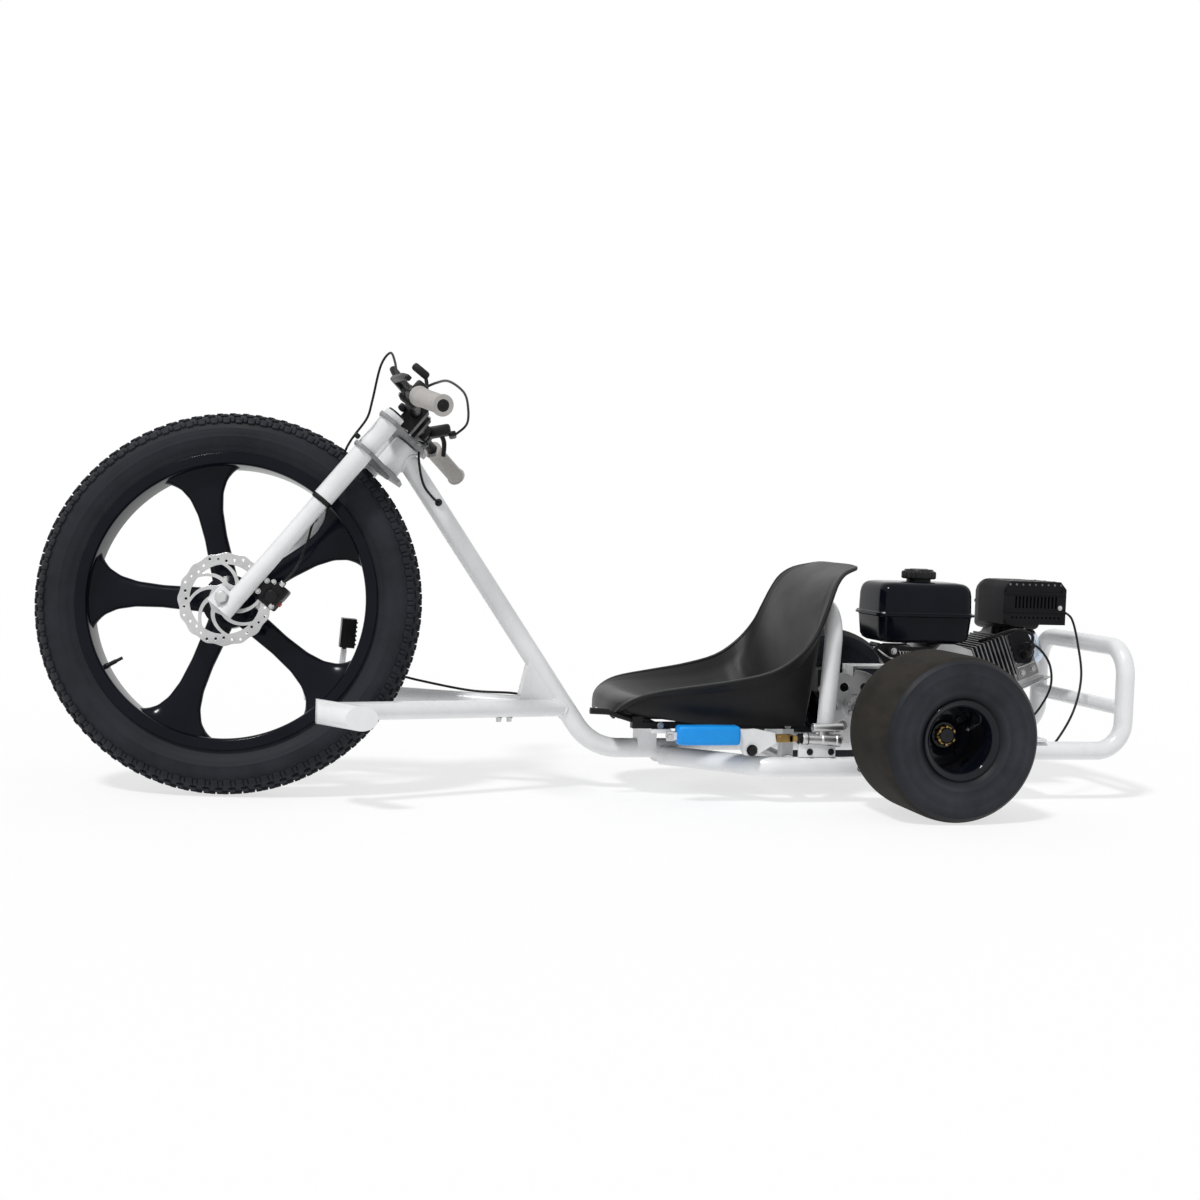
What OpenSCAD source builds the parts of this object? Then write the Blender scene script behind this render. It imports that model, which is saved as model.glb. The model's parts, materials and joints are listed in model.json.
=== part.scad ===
// Gas-engined drift trike: one big steered front wheel, bucket seat, rear engine and a live rear axle.
// Millimetres. +X forward, +Y to the rider's left, +Z up, ground at z = 0.

/* [Front wheel] */
// Outer radius of the front tyre
front_tyre_r = 371; // [300:1:400]
// Radius of the front tyre's round section
front_section_r = 48; // [30:1:60]
// Height of the front tyre over the rim's flanges
front_tyre_h = 84; // [60:1:110]
// Half width of the front rim over its flanges
front_rim_half_w = 40; // [25:1:48]
// Number of spokes in the front wheel
spoke_n = 5; // [3:1:8]
// Turn of the spokes about the wheel's axis at rest
spoke_turn = 4; // [0:1:71]
// Outer radius of the front brake rotor
rotor_r = 90; // [60:1:105]

/* [Steering] */
// Lean of the steering axis back from upright
rake = 39; // [20:1:50]
// Forward offset of the front axle from the steering axis
axle_offset = 60; // [20:1:90]
// Forward offset of the fork legs from the steering axis
leg_offset = 40; // [10:1:70]
// Sideways distance from the steering axis to each fork leg
leg_y = 84; // [70:1:110]
// Steering angle at rest, to the left when positive
steer_rest = -13.75; // [-17:0.25:17]
// Diameter of the fork's lower tubes
lower_leg_d = 34; // [28:1:40]
// Diameter of the fork's upper tubes
upper_leg_d = 41; // [36:1:50]
// Half width over the grips
bar_half_w = 368; // [300:1:400]
// Height of the handlebar over the upper crown plate
bar_over_crown = 45; // [30:1:90]

/* [Rear wheels] */
// Outer radius of the rear tyres
rear_tyre_r = 160; // [130:1:180]
// Width of a rear tyre
rear_tyre_w = 197; // [150:1:210]
// Gap between a side rail and the rear tyre beside it
rear_gap = 34; // [10:1:60]
// Radius of the rear rim's lips
rear_lip_r = 77; // [70:1:90]
// Diameter of the rear axle
axle_d = 30; // [25:1:40]

/* [Frame] */
// Diameter of the backbone and side rails
main_d = 40; // [32:1:45]
// Diameter of the rear bumper tube
bumper_d = 38; // [28:1:42]
// Diameter of the foot tubes
foot_d = 35; // [28:1:40]
// Diameter of the seat hoop tube
hoop_d = 36; // [28:1:40]
// Height of the backbone's level run
backbone_z = 85; // [70:1:110]
// Length of the backbone's level run ahead of the side rails
level_run = 179; // [130:1:240]
// Sideways distance from the middle to each side rail
rail_y = 180; // [150:1:190]
// Distance from the rear axle back to the bumper's uprights
bumper_back = 484; // [400:1:520]
// Height of the bumper's top tube
bumper_top = 320; // [260:1:360]

/* [Seat] */
// Height added to the whole seat
seat_lift = 0; // [-10:1:60]
// Thickness of the seat shell at its rim
seat_t = 7; // [5:1:12]

/* [Engine] */
// Distance from the rear axle back to the crankshaft
crank_back = 165; // [150:1:190]
// Height of the crankshaft
crank_z = 228; // [215:1:245]
// Sideways place of the engine's middle
engine_y = -30; // [-60:1:0]
// Lean of the cylinder up from level
cylinder_lean = 22; // [10:1:45]
// Number of fins on the cylinder
fin_n = 9; // [5:1:12]

/* [Hidden] */
$fn = 48;

// Places along the trike that follow from the driving sizes
front_rim_r = front_tyre_r - front_tyre_h;
rear_half_w = rail_y + main_d / 2 + rear_gap + rear_tyre_w;
backbone_end_x = 440;
bend_x = backbone_end_x + level_run;
front_reach = front_tyre_r + 356;
wheelbase = bend_x + front_reach;

// Unit vectors of the steering frame
fork_n = [cos(rake), 0, sin(rake)];
fork_a = [-sin(rake), 0, cos(rake)];

// The steered wheel's axis and centre, and the height that sets its tyre on the ground
wheel_w = [-cos(rake) * sin(steer_rest), cos(steer_rest), -sin(rake) * sin(steer_rest)];
wheel_ring = front_tyre_r - front_section_r;
steer_o_z = wheel_ring * sqrt(1 - pow(wheel_w[2], 2)) + front_section_r
  - axle_offset * sin(rake) * cos(steer_rest);
steer_o_x = wheelbase - axle_offset * cos(rake);
wheel_c_x = steer_o_x + axle_offset * cos(rake) * cos(steer_rest);

// The middle of the whole length is put at x = 0
front_max = wheel_c_x + wheel_ring * sqrt(1 - pow(wheel_w[0], 2)) + front_section_r;
rear_min = -bumper_back - bumper_d / 2;
shift_x = -(front_max + rear_min) / 2;

// Crown plates, along the steering axis
crown_t = 8;
crown_low = front_tyre_r + 13;
crown_high = crown_low + 74;
bar_rise = crown_high + crown_t + bar_over_crown;
steerer_d = 30;
running = 0.05;
joint_level = front_tyre_r - 105;
head_tube_d = 52;
head_gap = 3;

// Points of the frame tubes, from the rear axle's line
head_mid = [steer_o_x, 0, steer_o_z] + (crown_low + 55) * fork_a;
backbone_bend = [bend_x, 0, backbone_z];
backbone_end = [backbone_end_x, 0, backbone_z];
backbone_slope = (head_mid[0] - bend_x) / (head_mid[2] - backbone_z);
function on_backbone(z) = bend_x + backbone_slope * (z - backbone_z);
foot_root = [on_backbone(167) - 3.5, 0, 167];
foot_tip = [wheelbase - 174, 188, 180];
peg_in = [wheelbase - 150, 168, 180];
peg_out = [wheelbase - 258, 302, 177];
peg_d = 46;
pedal_x = wheelbase - 240;
peg_cut_y = 272;
rail_low = 73;
rail_high = 105;
rail_pts = [[474, 20, rail_low], [300, rail_y, rail_low], [-30, rail_y, rail_low], [-125, rail_y, rail_high],
  [-235, rail_y, rail_high]];
bumper_pts = [[-235, rail_y, rail_high], [-bumper_back, rail_y, rail_high], [-bumper_back, rail_y, bumper_top],
  [-bumper_back, -rail_y, bumper_top], [-bumper_back, -rail_y, rail_high], [-235, -rail_y, rail_high]];
bumper_mid = 193;
hoop_x = 173;
hoop_lean = 3.1;
hoop_y = 150;
hoop_h = 318;
hoop_pts = [[0, hoop_y, 0], [0, hoop_y, hoop_h], [0, -hoop_y, hoop_h], [0, -hoop_y, 0]];

// Rear axle and drive
carrier_t = 22;
chain_y = 105;
sprocket_tip = 85;
chain_r = 81;
pinion_r = 22;
disc_y = -112;
rear_disc_r = 80;

// Engine, from the crankshaft
base_z = 132;
shaft_d = 19;
tank_c = [-97, -30];

// Helpers
function unit(v) = v / norm(v);
function euler_of(x, y, z) = abs(x[2]) > 0.9999
  ? [atan2(-sign(x[2]) * y[0], y[1]), -90 * sign(x[2]), 0]
  : [atan2(y[2], z[2]), asin(-x[2]), atan2(x[1], x[0])];
function bend_half(a, b, c) = acos(max(-1, min(1, unit(b - a) * unit(c - b)))) / 2;
function trim(pts, i, r) = i <= 0 || i >= len(pts) - 1 ? 0 : r * tan(bend_half(pts[i - 1], pts[i], pts[i + 1]));
function spline(p, i, t) =
  let (a = p[max(0, i - 1)], b = p[i], c = p[min(len(p) - 1, i + 1)], d = p[min(len(p) - 1, i + 2)])
  0.5 * (2 * b + (c - a) * t + (2 * a - 5 * b + 4 * c - d) * t * t + (3 * b - a - 3 * c + d) * t * t * t);
function smooth(p, k) = concat([for (i = [0 : len(p) - 2]) for (j = [0 : k - 1]) spline(p, i, j / k)],
  [p[len(p) - 1]]);
function ring_box(hx, hy, r, z, k = 5) = [for (q = [0 : 3]) for (j = [0 : k])
  let (a = 90 * q + 90 * j / k, sx = q == 0 || q == 3 ? 1 : -1, sy = q < 2 ? 1 : -1)
  [sx * (hx - r) + r * cos(a), sy * (hy - r) + r * sin(a), z]];

// A round bar from one point to another
module rod(a, b, d) {
  v = b - a;
  translate(a) rotate([0, acos(v[2] / norm(v)), atan2(v[1], v[0])]) cylinder(h = norm(v), d = d);
}

// A round tube along straight runs with bends of one radius
module bent_tube(pts, r, d) {
  for (i = [0 : len(pts) - 2]) {
    u = unit(pts[i + 1] - pts[i]);
    rod(pts[i] + u * trim(pts, i, r), pts[i + 1] - u * trim(pts, i + 1, r), d);
  }
  for (i = [1 : len(pts) - 2]) {
    u = unit(pts[i] - pts[i - 1]);
    v = unit(pts[i + 1] - pts[i]);
    axis = unit(cross(u, v));
    out = cross(u, axis);
    start = pts[i] - u * trim(pts, i, r);
    translate(start - out * r) rotate(euler_of(out, u, axis))
      rotate_extrude(angle = 2 * bend_half(pts[i - 1], pts[i], pts[i + 1])) translate([r, 0]) circle(d = d);
  }
}

// A round tube of two straight runs and one bend
module elbow_tube(a, b, c, r, d) {
  u = unit(b - a);
  v = unit(c - b);
  axis = unit(cross(u, v));
  out = cross(u, axis);
  half = bend_half(a, b, c);
  cut = r * tan(half);
  translate(b - u * cut - out * r) rotate(euler_of(out, u, axis)) {
    rotate_extrude(angle = 2 * half) translate([r, 0]) circle(d = d);
    translate([r, 0, 0]) rotate([90, 0, 0]) cylinder(h = norm(b - a) - cut, d = d);
    rotate([0, 0, 2 * half]) translate([r, 0, 0]) rotate([-90, 0, 0]) cylinder(h = norm(c - b) - cut, d = d);
  }
}

// The middle line of a tube with rounded bends, as points
function bend_pts(pts, i, r, k) =
  let (u = unit(pts[i] - pts[i - 1]), v = unit(pts[i + 1] - pts[i]), axis = unit(cross(u, v)),
    out = cross(u, axis), mid = pts[i] - u * trim(pts, i, r) - out * r,
    whole = 2 * bend_half(pts[i - 1], pts[i], pts[i + 1]))
  [for (j = [0 : k]) mid + r * (out * cos(whole * j / k) + u * sin(whole * j / k))];
function tube_line(pts, r, k) = concat([pts[0]],
  [for (i = [1 : len(pts) - 2]) each bend_pts(pts, i, r, k)], [pts[len(pts) - 1]]);
function along(p, i) = unit((i > 0 ? unit(p[i] - p[i - 1]) : [0, 0, 0])
  + (i < len(p) - 1 ? unit(p[i + 1] - p[i]) : [0, 0, 0]));
function tube_ring(c, u, side, d, n) =
  let (a = unit(cross(u, side)), b = cross(u, a))
  [for (j = [0 : n - 1]) c + d / 2 * (cos(360 * j / n) * a + sin(360 * j / n) * b)];

// A round tube with bends in more than one plane, as one skin; side is a direction across the whole run
module swept_tube(pts, r, d, side, n = 28) {
  p = tube_line(pts, r, 6);
  loft([for (i = [0 : len(p) - 1]) tube_ring(p[i], along(p, i), side, d, n)]);
}

// A closed skin over rings with equal point counts
module loft(rings) {
  n = len(rings[0]);
  m = len(rings);
  points = [for (ring = rings) each ring];
  sides = [for (i = [0 : m - 2]) for (j = [0 : n - 1]) each [
    [i * n + j, (i + 1) * n + j, i * n + (j + 1) % n],
    [i * n + (j + 1) % n, (i + 1) * n + j, (i + 1) * n + (j + 1) % n]]];
  low = [for (j = [0 : n - 1]) j];
  high = [for (j = [n - 1 : -1 : 0]) (m - 1) * n + j];
  polyhedron(points, concat(sides, [low, high]));
}

// A flexible line along smoothed points
module hose(pts, d, k = 4, sides = 8) {
  p = smooth(pts, k);
  m = len(p);
  rings = [for (i = [0 : m - 1])
    let (u = unit(p[min(m - 1, i + 1)] - p[max(0, i - 1)]),
      w = abs(u[1]) > 0.9 ? [1, 0, 0] : [0, 1, 0],
      a = unit(cross(u, w)),
      b = cross(u, a))
    [for (j = [0 : sides - 1]) p[i] + d / 2 * (cos(360 * j / sides) * a + sin(360 * j / sides) * b)]];
  loft(rings);
}

// Both sides of a piece made for the left
module both() {
  children();
  mirror([0, 1, 0]) children();
}

// Puts a piece from the rear axle's line into the shared frame
module place() {
  translate([shift_x, 0, 0]) children();
}

// The fork's own frame: +X ahead of the steering axis, +Z up along it
module fork_frame() {
  place() translate([steer_o_x, 0, steer_o_z]) rotate([0, -rake, 0]) rotate([0, 0, steer_rest]) children();
}

// The front wheel's frame: origin at its middle, +Z along its axis to the left, +X ahead
module front_wheel_frame() {
  fork_frame() translate([axle_offset, 0, 0]) rotate([0, rake, 0]) rotate([-90, 0, 0]) children();
}

// The rear axle's frame: +Z along the axle to the left
module rear_axle_frame() {
  place() translate([0, 0, rear_tyre_r]) rotate([-90, 0, 0]) children();
}

// An outline in the plane of X and Z, given a thickness in Y about a middle
module side_plate(pts, y, t) {
  translate([0, y + t / 2, 0]) rotate([90, 0, 0]) linear_extrude(t) polygon(pts);
}

module backbone_shape() {
  elbow_tube(head_mid, backbone_bend, backbone_end, 110, main_d);
}

module foot_tube_shape() {
  both() rod(foot_root + 10 * unit(foot_tip - foot_root), foot_tip, foot_d);
}

// Frame
module head_tube() {
  color("white") place() translate([steer_o_x, 0, steer_o_z]) rotate([0, -rake, 0])
    translate([0, 0, crown_low + crown_t + head_gap]) difference() {
      cylinder(h = crown_high - crown_low - crown_t - 2 * head_gap, d = head_tube_d);
      translate([0, 0, -1]) cylinder(h = 200, d = steerer_d + 2 * running);
    }
}

module head_solid() {
  translate([steer_o_x, 0, steer_o_z]) rotate([0, -rake, 0]) translate([0, 0, crown_low - 60])
    cylinder(h = 220, d = head_tube_d);
}

module backbone() {
  color("white") place() difference() {
    backbone_shape();
    head_solid();
  }
}

module gusset() {
  color("white") place() difference() {
    side_plate([[on_backbone(264) - 1, 264], [on_backbone(262) + 15, 262], [on_backbone(176) + 94, 176],
      [on_backbone(172) - 1, 172]], 0, 34);
    backbone_shape();
    foot_tube_shape();
  }
}

module foot_tubes() {
  color("white") place() difference() {
    foot_tube_shape();
    backbone_shape();
    peg_shape();
  }
}

module peg_shape() {
  both() difference() {
    rod(peg_in, peg_out, peg_d);
    translate([wheelbase - 346, peg_cut_y, 100]) cube([300, 200, 200]);
    translate([wheelbase - 158, 0, 100]) cube([200, 400, 200]);
  }
}

module foot_pegs() {
  color("white") place() peg_shape();
}

module rail_shape() {
  both() swept_tube(rail_pts, 70, main_d, [0, 0, 1]);
}

// The straight part of a side rail, for what is welded on it
module rail_run() {
  both() rod([290, rail_y, rail_low], [-20, rail_y, rail_low], main_d);
}

module side_rails() {
  color("white") place() difference() {
    rail_shape();
    backbone_shape();
  }
}

module rear_bumper() {
  color("white") place() union() {
    bent_tube(bumper_pts, 60, bumper_d);
    rod([-bumper_back, -rail_y, bumper_mid], [-bumper_back, rail_y, bumper_mid], 30);
  }
}

module seat_hoop() {
  color("white") place() difference() {
    translate([hoop_x, 0, rail_low]) rotate([0, -hoop_lean, 0]) bent_tube(hoop_pts, 70, hoop_d);
    rail_run();
  }
}

module cross_members() {
  color("white") place() {
    difference() {
      union() {
        rod([236, -rail_y, rail_low], [236, rail_y, rail_low], 30);
        both() translate([224, 93, rail_low]) cube([24, 24, 140 - rail_low]);
      }
      rail_run();
    }
    difference() {
      union() {
        translate([485, -20, backbone_z]) cube([40, 40, 50]);
        translate([485, -125, 132]) cube([40, 250, 8]);
      }
      rod([560, 0, backbone_z], [440, 0, backbone_z], main_d);
    }
  }
}

module engine_plate() {
  color("white") place() difference() {
    translate([-300, -198, rail_high + main_d / 2]) cube([200, 396, 7]);
    for (dx = [-81, 81]) for (dy = [-40, 40])
      translate([-crank_back + dx * 0.6 - 30, engine_y + dy, 100]) cylinder(h = 60, d = 9);
    translate([-140, chain_y - 14, 100]) cube([60, 28, 60]);
  }
}

module axle_carriers() {
  color("white") place() difference() {
    both() {
      translate([-30, rail_y - carrier_t / 2 + 4, rail_low]) cube([60, carrier_t - 8, rear_tyre_r - rail_low]);
      translate([0, rail_y - carrier_t / 2, rear_tyre_r]) rotate([-90, 0, 0]) cylinder(h = carrier_t, r = 36);
    }
    rail_run();
    translate([-40, -300, 0]) cube([40, 600, rail_low + main_d / 2 + 4]);
    translate([0, 300, rear_tyre_r]) rotate([90, 0, 0]) cylinder(h = 600, d = axle_d + 2 * running);
  }
}

// Seat: middle line x, z and rim half width, x, z from the front lip to the top of the back
seat_rows = [
  [604, 170, 84, 598, 160],
  [594, 194, 122, 586, 186],
  [566, 203, 142, 560, 206],
  [520, 192, 153, 522, 219],
  [452, 174, 163, 446, 231],
  [380, 166, 172, 372, 243],
  [312, 166, 182, 300, 262],
  [262, 180, 188, 250, 294],
  [236, 218, 188, 216, 334],
  [220, 270, 185, 197, 374],
  [207, 332, 178, 182, 410],
  [191, 390, 166, 166, 441],
  [160, 442, 146, 142, 462],
  [106, 478, 118, 104, 474]
];
seat_cols = 10;
seat_mid = smooth([for (r = seat_rows) [r[0], 0, r[1] + seat_lift]], 2);
seat_rim = smooth([for (r = seat_rows) [r[3], r[2], r[4] + seat_lift]], 2);
seat_m = len(seat_mid);
seat_n = 2 * seat_cols + 1;
function seat_in(i, j) =
  let (v = (j - seat_cols) / seat_cols, f = pow(abs(v), 3.6), c = seat_mid[i], r = seat_rim[i])
  [c[0] + (r[0] - c[0]) * f, r[1] * v, c[2] + (r[2] - c[2]) * f];
function seat_normal(i, j) =
  unit(cross(seat_in(min(seat_m - 1, i + 1), j) - seat_in(max(0, i - 1), j),
    seat_in(i, min(seat_n - 1, j + 1)) - seat_in(i, max(0, j - 1))));
function seat_out(i, j) = seat_in(i, j) + (seat_t + 4 * (1 - pow(abs((j - seat_cols) / seat_cols), 2)))
  * seat_normal(i, j);

module seat() {
  in_pts = [for (i = [0 : seat_m - 1]) for (j = [0 : seat_n - 1]) seat_in(i, j)];
  out_pts = [for (i = [0 : seat_m - 1]) for (j = [0 : seat_n - 1]) seat_out(i, j)];
  k = seat_m * seat_n;
  skin = [for (i = [0 : seat_m - 2]) for (j = [0 : seat_n - 2])
    let (a = i * seat_n + j, b = a + 1, c = a + seat_n, d = c + 1)
    each [[a, b, d], [a, d, c], [k + a, k + d, k + b], [k + a, k + c, k + d]]];
  ends = [for (j = [0 : seat_n - 2])
    let (a = j, c = (seat_m - 1) * seat_n + j)
    each [[a, k + a + 1, a + 1], [a, k + a, k + a + 1], [c, c + 1, k + c + 1], [c, k + c + 1, k + c]]];
  rims = [for (i = [0 : seat_m - 2])
    let (a = i * seat_n, b = a + seat_n, c = a + seat_n - 1, d = c + seat_n)
    each [[a, b, k + b], [a, k + b, k + a], [c, k + d, d], [c, k + c, k + d]]];
  color("black") place() polyhedron(concat(in_pts, out_pts), concat(skin, ends, rims));
}

// Pads under the seat: front-to-back place and height
slide_pads = [[320, 164.2], [440, 171]];

module seat_slides() {
  color("black") place() {
    both() {
      translate([212, 96, 140]) cube([330, 18, 12]);
      translate([541, 96, 140]) cube([22, 18, 24]);
      for (pad = slide_pads) translate([pad[0], 96, 150]) cube([30, 14, pad[1] - 150]);
    }
    rod([530, 105, 146], [614, 105, 172], 10);
    rod([610, 105, 172.5], [648, 105, 174], 13);
  }
}

// Hand brake: the flat bar's outline, up to where its free end is
module lever_bar(end_x) {
  side_plate([[end_x, 128], [end_x, 142], [332, 150], [290, 142], [286, 122], [326, 98], [352, 98], [370, 122]],
    184, 8);
}

module brake_lever() {
  color("silver") place() {
    lever_bar(498);
    translate([338, 176, 108]) rotate([-90, 0, 0]) cylinder(h = 16, d = 14);
  }
}

module brake_grip() {
  color("dodgerblue") place() difference() {
    translate([364, 167, 118]) cube([128, 34, 38]);
    lever_bar(520);
  }
}

module master_cylinder() {
  color("silver") place() {
    rod([286, 184, 132], [232, 184, 128], 12);
    rod([232, 184, 128], [146, 184, 126], 24);
    rod([210, 184, 152], [146, 184, 152], 18);
    translate([160, 180, 93]) cube([78, 8, 42]);
    translate([176, 178, 134]) cube([20, 12, 12]);
  }
}

module foot_pedal() {
  color("black") place() {
    difference() {
      union() {
        rod([pedal_x + 12, -169, 182], [pedal_x + 2, -169, 284], 10);
        translate([pedal_x, -177, 186]) cube([24, 16, 20]);
      }
      foot_tube_shape();
    }
    translate([pedal_x - 16, -186, 268]) rotate([0, -4, 0]) difference() {
      cube([30, 34, 60]);
      translate([10, 12, -1]) cube([10, 10, 17]);
    }
  }
}

// Engine
crank_side = [[-95, -96], [85, -96], [85, -82], [72, -66], [84, 0], [70, 52], [38, 84], [6, 84], [-32, 72.5],
  [-76.4, -21.7], [-84, -66], [-95, -82]];

module crankcase_shape() {
  translate([-crank_back, engine_y, crank_z]) {
    side_plate(crank_side, 0, 150);
    rotate([-90, 0, 0]) {
      cylinder(h = 89, r = 60);
      cylinder(h = 99, r = 26);
      cylinder(h = 161, d = shaft_d);
    }
  }
}

module crankcase() {
  color("dimgray") place() crankcase_shape();
}

// The cylinder's frame: +X along it away from the crankshaft
module cylinder_frame() {
  translate([-crank_back, engine_y, crank_z]) rotate([0, 180 + cylinder_lean, 0]) children();
}

module engine_cylinder() {
  color("silver") place() difference() {
    cylinder_frame() {
      translate([60, 0, 0]) rotate([0, 90, 0]) cylinder(h = 92, r = 44);
      for (i = [0 : fin_n - 1]) translate([62 + 84 / fin_n * i, -68, -56]) cube([3, 136, 112]);
      translate([146, -62, -52]) cube([50, 124, 104]);
    }
    crankcase_shape();
  }
}

module valve_cover() {
  color("lightsteelblue") place() cylinder_frame() translate([196, 0, 0]) rotate([0, 90, 0])
    loft([ring_box(46, 50, 14, 0), ring_box(46, 50, 14, 5), ring_box(40, 44, 16, 6), ring_box(38, 42, 18, 26),
      ring_box(30, 34, 18, 36)]);
}

// Fuel tank: half length, half width, corner radius and height of each ring
tank_rows = [[84, 52, 26, 312], [96, 64, 28, 316], [103, 70, 28, 326], [106, 73, 26, 369], [112, 79, 30, 370],
  [112, 79, 30, 375], [106, 73, 26, 376], [105, 72, 26, 418], [101, 68, 26, 432], [92, 59, 26, 439],
  [80, 48, 24, 441]];

module fuel_tank() {
  color("black") place() translate([tank_c[0], tank_c[1], 0])
    loft([for (r = tank_rows) ring_box(r[0], r[1], r[2], r[3])]);
}

module fuel_cap() {
  color("black") place() translate([-103, tank_c[1], 441]) {
    cylinder(h = 6, r = 26);
    translate([0, 0, 6]) cylinder(h = 17, r = 37);
    translate([0, 0, 23]) cylinder(h = 4, r = 32);
  }
}

// Muffler with its guard
muffler_side = [[-418, 357], [-270, 357], [-270, 434], [-284, 450], [-404, 450], [-418, 434]];
slot_n = 12;

module muffler() {
  color("black") place() {
    difference() {
      side_plate(muffler_side, -18, 116);
      for (i = [0 : slot_n - 1]) translate([-396 + 8.6 * i, 32, 392]) cube([4, 20, 26]);
      for (i = [0 : slot_n - 1]) translate([-404 + 10 * i, 32, 370]) cube([4, 20, 4]);
    }
    difference() {
      rod([-288, -25, 320], [-292, -25, 358], 24);
      cylinder_frame() {
        translate([60, -68, -56]) cube([88, 136, 112]);
        translate([146, -62, -52]) cube([50, 124, 104]);
      }
      translate([-500, -200, 357]) cube([400, 400, 100]);
    }
  }
}

module air_cleaner() {
  color("black") place() {
    translate([-376, -145, 0]) loft([ring_box(54, 46, 18, 336), ring_box(60, 52, 20, 344),
      ring_box(60, 52, 20, 420), ring_box(54, 47, 22, 440), ring_box(40, 30, 20, 448)]);
    difference() {
      rod([-335, -125, 350], [-290, -95, 300], 34);
      translate([-436, -197, 336]) cube([120, 104, 100]);
      cylinder_frame() translate([60, -68, -56]) cube([136, 136, 112]);
      crankcase_shape();
    }
  }
}

module recoil_starter() {
  color("black") place() translate([-crank_back, engine_y - 75, crank_z]) rotate([90, 0, 0]) {
    cylinder(h = 22, r = 90);
    translate([0, 0, 22]) cylinder(h = 26, r = 76);
    translate([0, 0, 48]) cylinder(h = 10, r = 50);
  }
}

module throttle_linkage() {
  color("black") place() difference() {
    union() {
      side_plate([[-102, 302], [6, 309], [20, 298], [-8, 268], [-60, 262], [-102, 270]], 24, 6);
      rod([-20, 27, 296], [-20, 44, 296], 22);
      rod([-58, 27, 284], [-58, 40, 284], 16);
      rod([4, -20, 306], [4, 21, 306], 10);
    }
    crankcase_shape();
  }
}

module engine_bracket() {
  color("silver") place() difference() {
    union() {
      translate([-92, -45, 256]) cube([150, 62, 5]);
      translate([53, -45, 240]) cube([5, 62, 16]);
    }
    crankcase_shape();
  }
}

module clutch() {
  color("dimgray") place() translate([-crank_back, 0, crank_z]) rotate([-90, 0, 0]) difference() {
    union() {
      translate([0, 0, 74]) cylinder(h = 22, r = 42);
      translate([0, 0, 96]) cylinder(h = 7, r = 16.5);
      translate([0, 0, chain_y - 2]) cylinder(h = 4, r = 25);
      translate([0, 0, chain_y + 2]) cylinder(h = 12, r = 15);
    }
    cylinder(h = 300, d = shaft_d);
  }
}

// The chain's loop round the sprocket and the pinion, moved in or out by a distance
chain_line = [-crank_back, crank_z - rear_tyre_r];
chain_dir = atan2(chain_line[1], chain_line[0]);
chain_wrap = acos((chain_r - pinion_r) / norm(chain_line));
function chain_loop(e) = concat(
  [for (i = [0 : 24]) let (a = chain_dir + chain_wrap + (360 - 2 * chain_wrap) * i / 24)
    [(chain_r + e) * cos(a), (chain_r + e) * sin(a)]],
  [for (i = [0 : 10]) let (a = chain_dir - chain_wrap + 2 * chain_wrap * i / 10)
    chain_line + [(pinion_r + e) * cos(a), (pinion_r + e) * sin(a)]]);

pin_n = 7;

module drive_chain() {
  color("dimgray") place() translate([0, 0, rear_tyre_r]) for (y = [chain_y - 5, chain_y + 5])
    difference() {
      side_plate(chain_loop(5), y, 3);
      side_plate(chain_loop(-5), y, 5);
    }
  color("dimgray") place() translate([0, 0, rear_tyre_r]) for (s = [-1, 1]) for (i = [2 : pin_n])
    let (a = chain_dir + s * chain_wrap, e = [cos(a), sin(a)],
      q = e * chain_r + (chain_line + e * (pinion_r - chain_r)) * i / (pin_n + 1))
    translate([q[0], chain_y + 3.5, q[1]]) rotate([90, 0, 0]) cylinder(h = 7, d = 6);
}

module rear_caliper() {
  color("dimgray") place() difference() {
    union() {
      translate([0, 0, rear_tyre_r])
        side_plate([[-26, -24], [26, -24], [96, 48], [70, 80], [-26, 26]], -166, 6);
      translate([46, -163, rear_tyre_r + 32]) cube([46, 66, 50]);
    }
    translate([0, -200, rear_tyre_r]) rotate([-90, 0, 0]) cylinder(h = 120, r = 21);
    translate([0, disc_y - 6, rear_tyre_r]) rotate([-90, 0, 0]) cylinder(h = 12, r = rear_disc_r + 6);
  }
}

// Routes of the lines that the frame holds
function far_foot(t, lift) = let (p = foot_root + t * (foot_tip - foot_root)) [p[0], -p[1], p[2] + lift];
pedal_line = [[pedal_x - 10, -166, 216], [pedal_x - 56, -146, 226], far_foot(0.576, 33.5),
  far_foot(0.376, 20.8), far_foot(0.212, 21.4), [foot_root[0] + 66, -47, 182], [foot_root[0] + 28, -38, 162],
  [bend_x + 31, -28, 120], [bend_x - 7, -26, backbone_z + 11], [backbone_end_x + 100, -22.7, backbone_z]];
stop_line = [[-420.5, 30, 385], [-432, 44, 370], [-438, 62, 320], [-434, 90, 250], [-402, 120, 180],
  [-345, 156, 122], [-318, 158.3, 105]];
engine_line = [[-312, 34.7, 312], [-326, 50, 318], [-350, 60, 306], [-374, 64, 270], [-378, 60, 220],
  [-350, 50, 164], [-314, 42, 140], [-292, 40, 134.6]];

module frame_cables() {
  color("black") place() {
    hose(pedal_line, 5);
    hose(stop_line, 5);
    hose(engine_line, 5);
  }
}

// Steering
crown_side = [[66, 66], [62, 104], [46, 113], [24, 112], [-8, 62], [-40, 28], [-40, -28], [-8, -62], [24, -112],
  [46, -113], [62, -104], [66, -66]];
bar_sweep = 86;
bar_bend_y = bar_half_w - 149;
bar_pts = [[20 - bar_sweep, bar_half_w, bar_rise], [20, bar_bend_y, bar_rise], [20, -bar_bend_y, bar_rise],
  [20 - bar_sweep, -bar_half_w, bar_rise]];
bar_d = 22;
grip_in = unit(bar_pts[1] - bar_pts[0]);

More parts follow.
